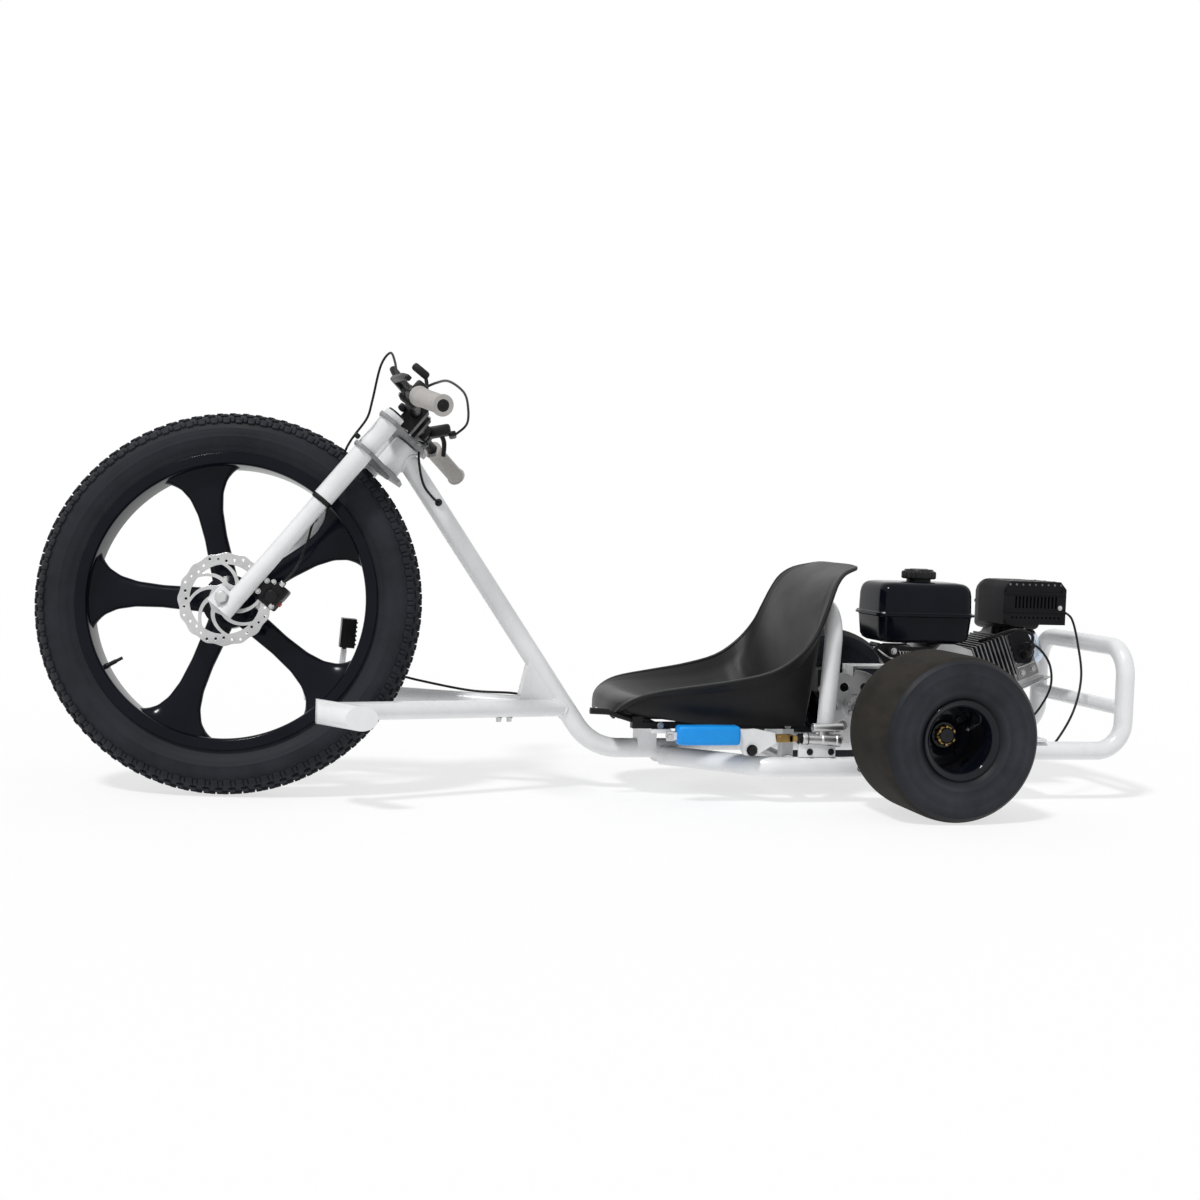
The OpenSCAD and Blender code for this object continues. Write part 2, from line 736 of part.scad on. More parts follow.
module legs(d, low, high) {
  both() translate([leg_offset, leg_y, low]) cylinder(h = high - low, d = d);
}

module fork_crown() {
  color("whitesmoke") fork_frame() {
    difference() {
      union() {
        for (z = [crown_low, crown_high]) translate([0, 0, z]) linear_extrude(crown_t) polygon(crown_side);
        translate([0, 0, crown_low]) cylinder(h = crown_high - crown_low, d = steerer_d);
      }
      legs(upper_leg_d, 200, 600);
    }
    translate([0, 0, crown_low - 6]) cylinder(h = 6, d = 34, $fn = 6);
    translate([0, 0, crown_high + crown_t]) cylinder(h = 8, d = 34, $fn = 6);
  }
}

module fork_uppers() {
  color("white") fork_frame() legs(upper_leg_d, joint_level, crown_high + crown_t + 12);
}

module fork_lowers() {
  color("white") fork_frame() difference() {
    union() {
      legs(lower_leg_d, -20, joint_level);
      both() translate([leg_offset, leg_y - 9, -20]) cube([axle_offset - leg_offset + 18, 18, 38]);
    }
    translate([axle_offset, -200, 0]) rotate([-90, 0, 0]) cylinder(h = 400, d = 14);
    both() translate([axle_offset, leg_y + 9, 0]) rotate([-90, 0, 0]) cylinder(h = 20, d = 30);
  }
}

module bar_shape() {
  swept_tube(bar_pts, 60, bar_d, [0, 0, 1], 24);
}

module bar_clamps() {
  color("dimgray") fork_frame() difference() {
    both() translate([2, 22, crown_high + crown_t]) cube([36, 30, bar_rise + 18 - crown_high - crown_t]);
    rod([20, -205, bar_rise], [20, 205, bar_rise], bar_d);
  }
}

module handlebar() {
  color("dimgray") fork_frame() bar_shape();
}

module grips() {
  color("lightgray") fork_frame() difference() {
    both() {
      rod(bar_pts[0], bar_pts[0] + 126 * grip_in, 35);
      rod(bar_pts[0], bar_pts[0] + 5 * grip_in, 40);
    }
    both() rod(bar_pts[0] - 10 * grip_in, bar_pts[0] + 140 * grip_in, bar_d);
  }
}

control_y = bar_bend_y - 51;
lever_side = [[10, 4], [44, 10], [68, 46], [34, 162], [18, 194], [8, 190], [22, 158], [54, 48], [36, 28],
  [10, 26]];

module controls() {
  color("black") fork_frame() difference() {
    both() {
      translate([0, control_y, bar_rise - 5]) linear_extrude(10) polygon(lever_side);
      translate([2, control_y, bar_rise - 17]) cube([36, 30, 34]);
    }
    rod([20, -bar_bend_y, bar_rise], [20, bar_bend_y, bar_rise], bar_d);
  }
}

module front_axle() {
  color("silver") fork_frame() translate([axle_offset, 0, 0]) rotate([-90, 0, 0]) {
    translate([0, 0, -104]) cylinder(h = 208, d = 14);
    for (z = [-103, leg_y + 9]) translate([0, 0, z]) difference() {
      cylinder(h = 10, d = 26, $fn = 6);
      translate([0, 0, -1]) cylinder(h = 12, d = 14);
    }
  }
}

module front_caliper() {
  color("black") fork_frame() difference() {
    union() {
      translate([-27, 36, 37]) cube([44, 40, 54]);
      translate([8, 64, 46]) cube([26, 14, 38]);
    }
    translate([axle_offset, 51, 0]) rotate([-90, 0, 0]) cylinder(h = 10, r = rotor_r + 5);
    legs(lower_leg_d, -20, joint_level);
  }
}

hose_pts = [[58, bar_bend_y + 3, bar_rise + 6], [86, 184, bar_rise + 30], [112, 150, bar_rise + 43],
  [114, 128, bar_rise + 15], [86, 116, crown_high + 10], [72, 112, crown_high - 22], [71, 100, crown_low + 16],
  [71, 90, crown_low - 2], [68, 78, crown_low - 22], [56, 64, crown_low - 46], [40, 60.5, crown_low - 80],
  [30, 60.5, joint_level - 40], [10, 63, 180], [-6, 72, 132], [-8, 78, 90]];

module front_hose() {
  color("black") fork_frame() hose(hose_pts, 5);
}

// Front wheel
module front_tyre() {
  color("dimgray") front_wheel_frame() rotate_extrude() difference() {
    union() {
      translate([wheel_ring, 0]) circle(r = front_section_r);
      translate([front_rim_r - 10, -34]) square([20, 68]);
    }
    translate([0, -100]) square([front_rim_r - 10, 200]);
    for (s = [-1, 1]) translate([front_rim_r - 11, s > 0 ? 34 : -94]) square([14, 60]);
  }
}

rim_in = front_rim_r - 23;
spoke_half = [[20, 25], [70, 24], [130, 22], [rim_in - 84, 25], [rim_in - 49, 33], [rim_in - 24, 46],
  [rim_in - 8, 62], [rim_in + 4, 82]];
spoke_side = concat([for (p = spoke_half) p], [for (i = [len(spoke_half) - 1 : -1 : 0])
  [spoke_half[i][0], -spoke_half[i][1]]]);

module front_wheel() {
  color("black") front_wheel_frame() rotate([0, 0, 180 / spoke_n - spoke_turn]) difference() {
    union() {
      rotate_extrude() polygon([[rim_in, -34], [rim_in + 4, -front_rim_half_w],
        [front_rim_r, -front_rim_half_w], [front_rim_r, -34], [front_rim_r - 10, -34],
        [front_rim_r - 10, 34], [front_rim_r, 34],
        [front_rim_r, front_rim_half_w], [rim_in + 4, front_rim_half_w], [rim_in, 34]]);
      translate([0, 0, -14]) linear_extrude(28) intersection() {
        union() {
          for (i = [0 : spoke_n - 1]) rotate(360 / spoke_n * (i + 0.5)) polygon(spoke_side);
          circle(r = 40);
        }
        circle(r = rim_in + 4);
      }
      translate([0, 0, -46]) cylinder(h = 98, r = 34);
      translate([0, 0, -66]) cylinder(h = 132, r = 16);
    }
    translate([0, 0, -100]) cylinder(h = 200, d = 14 + 2 * running);
  }
}

module brake_rotor() {
  color("silver") front_wheel_frame() translate([0, 0, 55]) difference() {
    cylinder(h = 2, r = rotor_r);
    translate([0, 0, -1]) cylinder(h = 4, r = 16);
    for (i = [0 : 7]) rotate([0, 0, 45 * i]) translate([52, 0, -1]) cylinder(h = 4, r = 14);
  }
}

// Rear axle
axle_half = rear_half_w - 79;
hub_in = rear_half_w - 161;
hub_disc = rear_half_w - 105;

module axle_shaft() {
  color("silver") rear_axle_frame() translate([0, 0, -axle_half]) cylinder(h = 2 * axle_half, d = axle_d);
}

rear_in = rear_half_w - rear_tyre_w;
lip_y = rear_half_w - 12;
seat_r = 64;

module rear_rims() {
  color("black") rear_axle_frame() both_ends() difference() {
    union() {
      rotate_extrude() polygon([[seat_r - 4, rear_in + 12], [rear_lip_r, rear_in + 12],
        [rear_lip_r, rear_in + 16], [seat_r, rear_in + 18],
        [seat_r, lip_y - 6], [rear_lip_r, lip_y - 4], [rear_lip_r, lip_y],
        [seat_r - 4, lip_y - 3]]);
      translate([0, 0, hub_disc]) cylinder(h = 8, r = seat_r - 2);
      translate([0, 0, hub_in]) cylinder(h = 72, r = 28);
    }
    cylinder(h = 600, d = axle_d);
  }
}

// A piece on the left end of the axle and its copy on the right end
module both_ends() {
  children();
  mirror([0, 0, 1]) children();
}

tyre_side = [[seat_r, rear_in + 18.5], [rear_lip_r + 2, rear_in + 16], [104, rear_in + 4], [136, rear_in],
  [151, rear_in + 6], [158, rear_in + 17], [rear_tyre_r, rear_in + 34], [rear_tyre_r, rear_half_w - 34],
  [158, rear_half_w - 17], [151, rear_half_w - 6], [136, rear_half_w], [104, rear_half_w - 4],
  [rear_lip_r + 2, lip_y - 4], [seat_r, lip_y - 6.5]];

module rear_tyres() {
  color("dimgray") rear_axle_frame() both_ends() rotate_extrude() polygon(tyre_side);
}

tooth_n = 40;

module sprocket() {
  color("silver") rear_axle_frame() difference() {
    union() {
      translate([0, 0, chain_y - 2]) linear_extrude(4) polygon([for (i = [0 : tooth_n - 1]) for (k = [0 : 3])
        let (a = 360 / tooth_n * (i + [-0.3, -0.12, 0.12, 0.3][k]), r = [77, sprocket_tip, sprocket_tip, 77][k])
        [r * cos(a), r * sin(a)]]);
      translate([0, 0, chain_y + 2]) cylinder(h = 20, r = 26);
    }
    cylinder(h = 300, d = axle_d);
    for (i = [0 : 5]) rotate([0, 0, 60 * i]) translate([52, 0, 80]) cylinder(h = 60, r = 13);
  }
}

module rear_disc() {
  color("silver") rear_axle_frame() translate([0, 0, disc_y]) difference() {
    union() {
      translate([0, 0, -2]) cylinder(h = 4, r = rear_disc_r);
      translate([0, 0, 2]) cylinder(h = 24, r = 26);
    }
    translate([0, 0, -50]) cylinder(h = 100, d = axle_d);
    for (i = [0 : 5]) rotate([0, 0, 60 * i]) translate([48, 0, -20]) cylinder(h = 40, r = 10);
  }
}

head_tube();
backbone();
gusset();
foot_tubes();
foot_pegs();
side_rails();
rear_bumper();
seat_hoop();
cross_members();
engine_plate();
axle_carriers();
seat();
seat_slides();
brake_lever();
brake_grip();
master_cylinder();
foot_pedal();
crankcase();
engine_cylinder();
valve_cover();
fuel_tank();
fuel_cap();
muffler();
air_cleaner();
recoil_starter();
throttle_linkage();
engine_bracket();
clutch();
drive_chain();
rear_caliper();
frame_cables();
fork_crown();
fork_uppers();
fork_lowers();
bar_clamps();
handlebar();
grips();
controls();
front_axle();
front_caliper();
front_hose();
front_tyre();
front_wheel();
brake_rotor();
axle_shaft();
rear_rims();
rear_tyres();
sprocket();
rear_disc();
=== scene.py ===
# %% [markdown]
# # A gas-engined drift trike
# The real machine is a low tricycle: a tall plastic-spoked front wheel in a telescopic fork, a white tube
# frame, a moulded bucket seat close to the ground, and a small engine that drives two slick rear tyres.
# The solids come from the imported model. They could be traced again in Blender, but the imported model
# already holds every size and joint, so this lesson loads it and only dresses it.

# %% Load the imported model
import json
import math

import bmesh
import bpy
import numpy as np
from mathutils import Matrix, Vector


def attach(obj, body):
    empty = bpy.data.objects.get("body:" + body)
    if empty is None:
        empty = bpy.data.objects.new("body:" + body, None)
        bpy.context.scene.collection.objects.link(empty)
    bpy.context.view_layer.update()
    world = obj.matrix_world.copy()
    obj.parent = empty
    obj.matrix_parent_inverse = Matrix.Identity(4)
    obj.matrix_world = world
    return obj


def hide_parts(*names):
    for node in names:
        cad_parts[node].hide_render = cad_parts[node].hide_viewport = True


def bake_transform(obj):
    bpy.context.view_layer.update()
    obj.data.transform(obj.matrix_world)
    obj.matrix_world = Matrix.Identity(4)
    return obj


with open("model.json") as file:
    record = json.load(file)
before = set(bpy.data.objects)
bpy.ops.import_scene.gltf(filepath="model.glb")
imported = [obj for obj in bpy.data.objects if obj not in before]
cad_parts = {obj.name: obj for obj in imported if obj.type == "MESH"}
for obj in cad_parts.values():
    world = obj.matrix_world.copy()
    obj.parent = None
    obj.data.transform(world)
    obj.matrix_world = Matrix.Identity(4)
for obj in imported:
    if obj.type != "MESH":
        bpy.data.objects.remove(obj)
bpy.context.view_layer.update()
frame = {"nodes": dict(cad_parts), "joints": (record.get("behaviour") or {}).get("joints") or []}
nodes = frame["nodes"]
scene = bpy.context.scene

# %% [markdown]
# ## Places on the trike
# A builder of the real trike measures from the rear axle, from the steering head and from each wheel's
# middle. Each of these is a frame of axes here, in millimetres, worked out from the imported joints. Plain
# world numbers would also do, but a fork bolt is easier to place when Z runs up the steering tube.


# %% Axes of the trike, the fork, the front wheel and the rear axle
def axes(origin, x, y, z):
    """A 4 by 4 matrix from an origin and three directions, in millimetres."""
    m = np.eye(4)
    m[:3, 0], m[:3, 1], m[:3, 2], m[:3, 3] = x, y, z, origin
    return m


joints = {j["name"]: j for j in frame["joints"]}
steer_at = np.array(joints["steering"]["pos_m"]) * 1000
steer_up = np.array(joints["steering"]["axis"])
wheel_at = np.array(joints["front_wheel_spin"]["pos_m"]) * 1000
wheel_left = np.array(joints["front_wheel_spin"]["axis"])
axle_at = np.array(joints["rear_axle_spin"]["pos_m"]) * 1000
rake = math.asin(-steer_up[0])
fork_ahead = np.cross(wheel_left, steer_up)
wheel_ahead = math.cos(rake) * fork_ahead - math.sin(rake) * steer_up
wheel_down = -math.sin(rake) * fork_ahead - math.cos(rake) * steer_up

TRIKE = axes((axle_at[0], 0, 0), (1, 0, 0), (0, 1, 0), (0, 0, 1))
FORK = axes(steer_at, fork_ahead, wheel_left, steer_up)
WHEEL = axes(wheel_at, wheel_ahead, wheel_down, wheel_left)
AXLE = axes(axle_at, (1, 0, 0), (0, 0, -1), (0, 1, 0))
print("rake", round(math.degrees(rake), 2), "wheel middle", wheel_at.round(1))

# %% [markdown]
# ## Camera
# The photograph was taken from the trike's left, a little ahead of its middle, at about knee height. The
# camera was found from the two wheels' outlines. A longer lens from further away would flatten the rear
# tyres, which show their tread in the photograph, so the near view is kept.

# %% Camera at the photograph's place
lens_mm = 48.99
eye = Vector((0.7994, 3.2265, 0.5640))
yaw, pitch, roll = 0.241, -0.053, 0.035
look = Vector((-math.sin(yaw) * math.cos(pitch), -math.cos(yaw) * math.cos(pitch), math.sin(pitch)))
level = Vector((-math.cos(yaw), math.sin(yaw), 0))
above = level.cross(look)
right = level * math.cos(roll) + above * math.sin(roll)
up = -level * math.sin(roll) + above * math.cos(roll)
camera = bpy.data.objects.new("camera", bpy.data.cameras.new("camera"))
camera.data.lens = lens_mm
camera.data.sensor_width = 36
camera.matrix_world = Matrix.Translation(eye) @ Matrix((right, up, -look)).transposed().to_4x4()
scene.collection.objects.link(camera)
scene.camera = camera
scene.view_settings.view_transform = "Standard"
print("camera", lens_mm, "mm at", tuple(round(c, 3) for c in eye))

# %% [markdown]
# ## Floor and light
# The photograph is cut out on white. The floor could be pure emission, but then it would take no shadow,
# so its shader is one part painted floor and two parts plain white. The sky is white for the camera and
# for reflections and gentler as a light, and one soft sun from ahead and above gives the tubes their
# round shading.


# %% Floor, sky and sun
def node(tree, kind, **values):
    """A new shader node, with each value set on the socket of that name."""
    made = tree.nodes.new("ShaderNode" + kind)
    for socket, value in values.items():
        made.inputs[socket.replace("_", " ")].default_value = value
    return made


sky_light = 0.455
sun_power = 2.0
sun_size = math.radians(8)
floor_half = 30.0
white_share = 0.68

floor_mesh = bpy.data.meshes.new("floor")
floor_corners = [(x * floor_half, y * floor_half, 0) for x, y in ((-1, -1), (1, -1), (1, 1), (-1, 1))]
floor_mesh.from_pydata(floor_corners, [], [(0, 1, 2, 3)])
floor = bpy.data.objects.new("floor", floor_mesh)
scene.collection.objects.link(floor)
floor_mat = bpy.data.materials.new("floor")
floor_mat.use_nodes = True
tree = floor_mat.node_tree
paint = tree.nodes["Principled BSDF"]
paint.inputs["Base Color"].default_value = (0.995, 0.995, 0.995, 1)
paint.inputs["Roughness"].default_value = 0.9
paint.inputs["Specular IOR Level"].default_value = 0.1
glow = node(tree, "Emission")
mix = node(tree, "MixShader")
mix.inputs[0].default_value = white_share
tree.links.new(paint.outputs[0], mix.inputs[1])
tree.links.new(glow.outputs[0], mix.inputs[2])
tree.links.new(mix.outputs[0], tree.nodes["Material Output"].inputs[0])
floor.data.materials.append(floor_mat)

world = bpy.data.worlds.new("sky")
scene.world = world
world.use_nodes = True
tree = world.node_tree
rays = node(tree, "LightPath")
seen, seen_too = node(tree, "Math"), node(tree, "Math")
seen.operation = "MAXIMUM"
seen_too.operation = "MAXIMUM"
power = node(tree, "MapRange", To_Min=sky_light, To_Max=1.0)
tree.links.new(rays.outputs["Is Camera Ray"], seen.inputs[0])
tree.links.new(rays.outputs["Is Glossy Ray"], seen.inputs[1])
tree.links.new(seen.outputs[0], seen_too.inputs[0])
tree.links.new(rays.outputs["Is Transmission Ray"], seen_too.inputs[1])
tree.links.new(seen_too.outputs[0], power.inputs["Value"])
tree.links.new(power.outputs[0], tree.nodes["Background"].inputs["Strength"])
tree.nodes["Background"].inputs["Color"].default_value = (1, 1, 1, 1)

sun = bpy.data.objects.new("sun", bpy.data.lights.new("sun", "SUN"))
sun.data.energy = sun_power
sun.data.angle = sun_size
sun.rotation_euler = Vector((-0.45, -0.42, -1.0)).to_track_quat("-Z", "Y").to_euler()
scene.collection.objects.link(sun)
print("sky", sky_light, "sun", sun_power)

# %% [markdown]
# ## Finishes
# Powder coat, moulded rubber, cast alloy and vinyl differ less in colour than in how they scatter light.
# Each finish is one Principled shader whose colour and roughness wander with noise at the grain's real
# size, and whose bump is the grain itself. Painted pictures could do this too, but noise needs no
# unwrapping.


# %% A finish from two colours and a grain
def finish(name, dark, light, rough, grain, bump, metal=0.0, coat=0.0, specular=0.5, stretch=(1, 1, 1),
           cells=False):
    """A material: colour between dark and light, roughness range, grain per metre and bump strength."""
    mat = bpy.data.materials.new(name)
    mat.use_nodes = True
    tree = mat.node_tree
    shader = tree.nodes["Principled BSDF"]
    shader.inputs["Metallic"].default_value = metal
    shader.inputs["Coat Weight"].default_value = coat
    shader.inputs["Coat Roughness"].default_value = 0.08
    shader.inputs["Specular IOR Level"].default_value = specular
    where = node(tree, "TexCoord")
    scaled = node(tree, "Mapping", Scale=stretch)
    tree.links.new(where.outputs["Object"], scaled.inputs["Vector"])
    patches = node(tree, "TexNoise", Scale=9, Detail=8, Roughness=0.62)
    fine = node(tree, "TexVoronoi" if cells else "TexNoise", Scale=grain)
    tree.links.new(scaled.outputs[0], patches.inputs["Vector"])
    tree.links.new(scaled.outputs[0], fine.inputs["Vector"])
    ramp = node(tree, "ValToRGB")
    for element, position, colour in zip(ramp.color_ramp.elements, (0.32, 0.68), (dark, light)):
        element.position = position
        element.color = (*colour, 1)
    tree.links.new(patches.outputs[0], ramp.inputs[0])
    tree.links.new(ramp.outputs[0], shader.inputs["Base Color"])
    gloss = node(tree, "MapRange", From_Min=0.3, From_Max=0.7, To_Min=rough[0], To_Max=rough[1])
    tree.links.new(patches.outputs[0], gloss.inputs["Value"])
    tree.links.new(gloss.outputs[0], shader.inputs["Roughness"])
    skin = node(tree, "Bump", Strength=bump, Distance=0.0006)
    tree.links.new(fine.outputs[0], skin.inputs["Height"])
    tree.links.new(skin.outputs[0], shader.inputs["Normal"])
    return mat


white_coat = finish("white_coat", (0.72, 0.73, 0.74), (0.82, 0.83, 0.84), (0.22, 0.38), 420, 0.08,
                    coat=0.3)
plate_grey = finish("plate_grey", (0.17, 0.175, 0.18), (0.29, 0.295, 0.30), (0.38, 0.54), 900, 0.12,
                    metal=0.2, stretch=(1, 8, 1))
gloss_black = finish("gloss_black", (0.0025, 0.003, 0.006), (0.005, 0.006, 0.011), (0.09, 0.20), 500,
                     0.03, specular=0.11)
rim_black = finish("rim_black", (0.0025, 0.003, 0.006), (0.005, 0.006, 0.011), (0.06, 0.14), 500, 0.03,
                   specular=0.24)
front_rubber = finish("front_rubber", (0.008, 0.009, 0.012), (0.020, 0.022, 0.028), (0.50, 0.70), 900,
                      0.30, specular=0.16)
seat_skin = finish("seat_skin", (0.005, 0.005, 0.006), (0.010, 0.010, 0.011), (0.36, 0.50), 700, 0.30,
                   specular=0.19, cells=True)
blue_vinyl = finish("blue_vinyl", (0.004, 0.25, 0.72), (0.010, 0.32, 0.84), (0.36, 0.52), 800, 0.15,
                    specular=0.3, cells=True)
bright_steel = finish("bright_steel", (0.42, 0.42, 0.43), (0.64, 0.64, 0.64), (0.20, 0.40), 1100, 0.12,
                      metal=1.0, stretch=(1, 6, 1))
cast_alloy = finish("cast_alloy", (0.20, 0.20, 0.21), (0.44, 0.44, 0.44), (0.36, 0.60), 700, 0.40,
                    metal=0.9)
# A darker cast alloy, for the finned cylinder and the guard rivets.
dark_alloy = finish("dark_alloy", (0.06, 0.06, 0.065), (0.26, 0.26, 0.26), (0.38, 0.62), 700, 0.40,
                     metal=0.9)
blued_chrome = finish("blued_chrome", (0.36, 0.46, 0.60), (0.62, 0.68, 0.76), (0.10, 0.22), 600, 0.05,
                      metal=1.0)
heat_black = finish("heat_black", (0.003, 0.003, 0.004), (0.008, 0.008, 0.010), (0.40, 0.60), 1500, 0.30,
                    specular=0.12)
black_plastic = finish("black_plastic", (0.004, 0.004, 0.005), (0.010, 0.010, 0.011), (0.30, 0.50), 1300,
                       0.20, specular=0.2)
grey_rubber = finish("grey_rubber", (0.36, 0.345, 0.33), (0.52, 0.50, 0.48), (0.62, 0.82), 1200, 0.35,
                     specular=0.3)
dull_brass = finish("dull_brass", (0.16, 0.10, 0.035), (0.42, 0.28, 0.10), (0.30, 0.50), 900, 0.15,
                    metal=1.0)
cable_black = finish("cable_black", (0.004, 0.004, 0.005), (0.010, 0.010, 0.011), (0.34, 0.48), 900, 0.10,
                     specular=0.2)
red_clip = finish("red_clip", (0.26, 0.02, 0.015), (0.36, 0.035, 0.025), (0.36, 0.50), 900, 0.10)
print("finishes", len(bpy.data.materials))

# %% [markdown]
# ## Pieces from code
# A piece is built the way its maker would: turned parts are profiles spun round an axis, tubes and hoses
# are a round section pushed along a line, plates are outlines with a thickness, and lumps are blocks with
# rounded edges. Modelling by hand would give the same meshes, but code keeps every size in millimetres
# and in one place.


# %% Shapes: points, faces and a tag for the finish of each face
def shape(points, faces, tag=0):
    return np.asarray(points, float).reshape(-1, 3), [tuple(f) for f in faces], [tag] * len(faces)


def joined(*shapes):
    """Several shapes as one."""
    points, faces, tags, base = [], [], [], 0
    for p, f, t in shapes:
        points.append(p)
        faces += [tuple(i + base for i in face) for face in f]
        tags += list(t)
        base += len(p)
    return np.concatenate(points), faces, tags


def tagged(s, tag):
    return s[0], s[1], [tag] * len(s[1])


def moved(s, matrix):
    return s[0] @ matrix[:3, :3].T + matrix[:3, 3], s[1], s[2]


def shifted(s, x=0, y=0, z=0):
    return s[0] + np.array((x, y, z), float), s[1], s[2]


def turned(s, degrees, axis="Z"):
    return moved(s, np.array(Matrix.Rotation(math.radians(degrees), 4, axis)))


def mirrored(s):
    """The copy on the trike's other side."""
    return s[0] * np.array((1, -1, 1)), s[1], s[2]


def piece(name, s, finishes, body=None, place=TRIKE, stands_for=(), sharp=35):
    """A finished object: placed, with its finishes, riding on its body if any, hiding the parts it replaces.
    """
    points = (s[0] @ place[:3, :3].T + place[:3, 3]) / 1000
    mesh = bpy.data.meshes.new(name)
    mesh.from_pydata(points.tolist(), [], s[1])
    finishes = finishes if isinstance(finishes, (list, tuple)) else [finishes]
    for mat in finishes:
        mesh.materials.append(mat)
    mesh.polygons.foreach_set("material_index", s[2])
    bm = bmesh.new()
    bm.from_mesh(mesh)
    bmesh.ops.recalc_face_normals(bm, faces=bm.faces)
    bm.to_mesh(mesh)
    bm.free()
    mesh.shade_smooth()
    mesh.set_sharp_from_angle(angle=math.radians(sharp))
    made = bpy.data.objects.new(name, mesh)
    scene.collection.objects.link(made)
    if body:
        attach(made, body)
    if stands_for:
        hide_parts(*stands_for)
    return made


print("shape helpers ready")


# %% Turned parts, tubes, plates and rounded blocks
def lathe(profile, n=64, whole=True):
    """A closed profile of (radius, height) spun round Z."""
    profile = np.array(profile, float)
    m = len(profile)
    angles = np.arange(n) * 2 * math.pi / n
    rows = [np.c_[profile[:, 0] * math.cos(a), profile[:, 0] * math.sin(a), profile[:, 1]]
            for a in angles]
    last = m if whole else m - 1
    faces = [(i * m + j, ((i + 1) % n) * m + j, ((i + 1) % n) * m + (j + 1) % m, i * m + (j + 1) % m)
             for i in range(n) for j in range(last)]
    return shape(np.concatenate(rows), faces)


def rounded(outline, radius, steps=4):
    """An outline whose corners are arcs of about one radius."""
    pts = np.array(outline, float)
    out = []
    for i in range(len(pts)):
        a, b, c = pts[i - 1], pts[i], pts[(i + 1) % len(pts)]
        back, ahead = a - b, c - b
        reach = min(radius, 0.45 * np.linalg.norm(back), 0.45 * np.linalg.norm(ahead))
        start = b + back / np.linalg.norm(back) * reach
        end = b + ahead / np.linalg.norm(ahead) * reach
        for t in np.linspace(0, 1, steps + 1):
            out.append((1 - t) ** 2 * start + 2 * t * (1 - t) * b + t * t * end)
    return np.array(out)


def spun(profile, soft, n):
    """A turned part whose profile has soft corners."""
    return lathe(rounded(profile, soft), n)


def line_through(points, steps=8):
    """A smooth line through given points."""
    p = np.array(points, float)
    out = []
    for i in range(len(p) - 1):
        a, b, c, d = p[max(0, i - 1)], p[i], p[i + 1], p[min(len(p) - 1, i + 2)]
        for t in np.arange(steps) / steps:
            out.append(0.5 * (2 * b + (c - a) * t + (2 * a - 5 * b + 4 * c - d) * t * t
                              + (3 * b - a - 3 * c + d) * t ** 3))
    return np.array(out + [p[-1]])


def tube(line, radius, sides=12, closed=False):
    """A round section along a line of points; radius may be one number or one for each point."""
    line = np.array(line, float)
    m = len(line)
    radius = np.broadcast_to(np.array(radius, float), (m,))
    ahead = np.roll(line, -1, 0) - np.roll(line, 1, 0)
    if not closed:
        ahead[0], ahead[-1] = line[1] - line[0], line[-1] - line[-2]
    ahead /= np.linalg.norm(ahead, axis=1)[:, None]
    side = np.cross(ahead[0], (0, 0, 1) if abs(ahead[0][2]) < 0.9 else (1, 0, 0))
    rings = []
    turn = np.arange(sides) * 2 * math.pi / sides
    for i in range(m):
        side = side - ahead[i] * (side @ ahead[i])
        side /= np.linalg.norm(side)
        other = np.cross(ahead[i], side)
        rings.append(line[i] + radius[i] * (np.cos(turn)[:, None] * side + np.sin(turn)[:, None] * other))
    last = m if closed else m - 1
    faces = [(i * sides + j, ((i + 1) % m) * sides + j, ((i + 1) % m) * sides + (j + 1) % sides,
              i * sides + (j + 1) % sides) for i in range(last) for j in range(sides)]
    if not closed:
        faces += [tuple(range(sides))[::-1], tuple((m - 1) * sides + j for j in range(sides))]
    return shape(np.concatenate(rings), faces)


def taken(bm):
    """The points and faces of a bmesh, which is then freed."""
    bm.verts.index_update()
    s = shape([v.co[:] for v in bm.verts], [[v.index for v in f.verts] for f in bm.faces])
    bm.free()
    return s


def block(size, bevel, at=(0, 0, 0), segments=2):
    """A block with rounded edges, its middle at a place."""
    bm = bmesh.new()
    bmesh.ops.create_cube(bm, size=1)
    bmesh.ops.scale(bm, vec=size, verts=bm.verts)
    bmesh.ops.bevel(bm, geom=bm.edges[:], offset=bevel, segments=segments, profile=0.5, affect="EDGES")
    return shifted(taken(bm), *at)


def slab(outline, low, high, bevel=0.0):
    """An outline in X and Y with a thickness in Z and rounded rims."""
    bm = bmesh.new()
    face = bm.faces.new([bm.verts.new((x, y, low)) for x, y in outline])
    grown = bmesh.ops.extrude_face_region(bm, geom=[face])["geom"]
    bmesh.ops.translate(bm, vec=(0, 0, high - low),
                        verts=[v for v in grown if isinstance(v, bmesh.types.BMVert)])
    bmesh.ops.recalc_face_normals(bm, faces=bm.faces)
    if bevel:
        rims = [e for e in bm.edges if abs(e.verts[0].co.z - e.verts[1].co.z) < 1e-4]
        bmesh.ops.bevel(bm, geom=rims, offset=bevel, segments=2, profile=0.5, affect="EDGES")
    return taken(bm)


def upright(s):
    """A slab stood on its edge: its outline in X and Z, its thickness along Y."""
    return s[0][:, [0, 2, 1]], s[1], s[2]


def loft(rings):
    """A closed skin over rings with equal point counts."""
    rings = [np.array(r, float) for r in rings]
    n, m = len(rings[0]), len(rings)
    faces = [(i * n + j, i * n + (j + 1) % n, (i + 1) * n + (j + 1) % n, (i + 1) * n + j)
             for i in range(m - 1) for j in range(n)]
    faces += [tuple(range(n))[::-1], tuple((m - 1) * n + j for j in range(n))]
    return shape(np.concatenate(rings), faces)


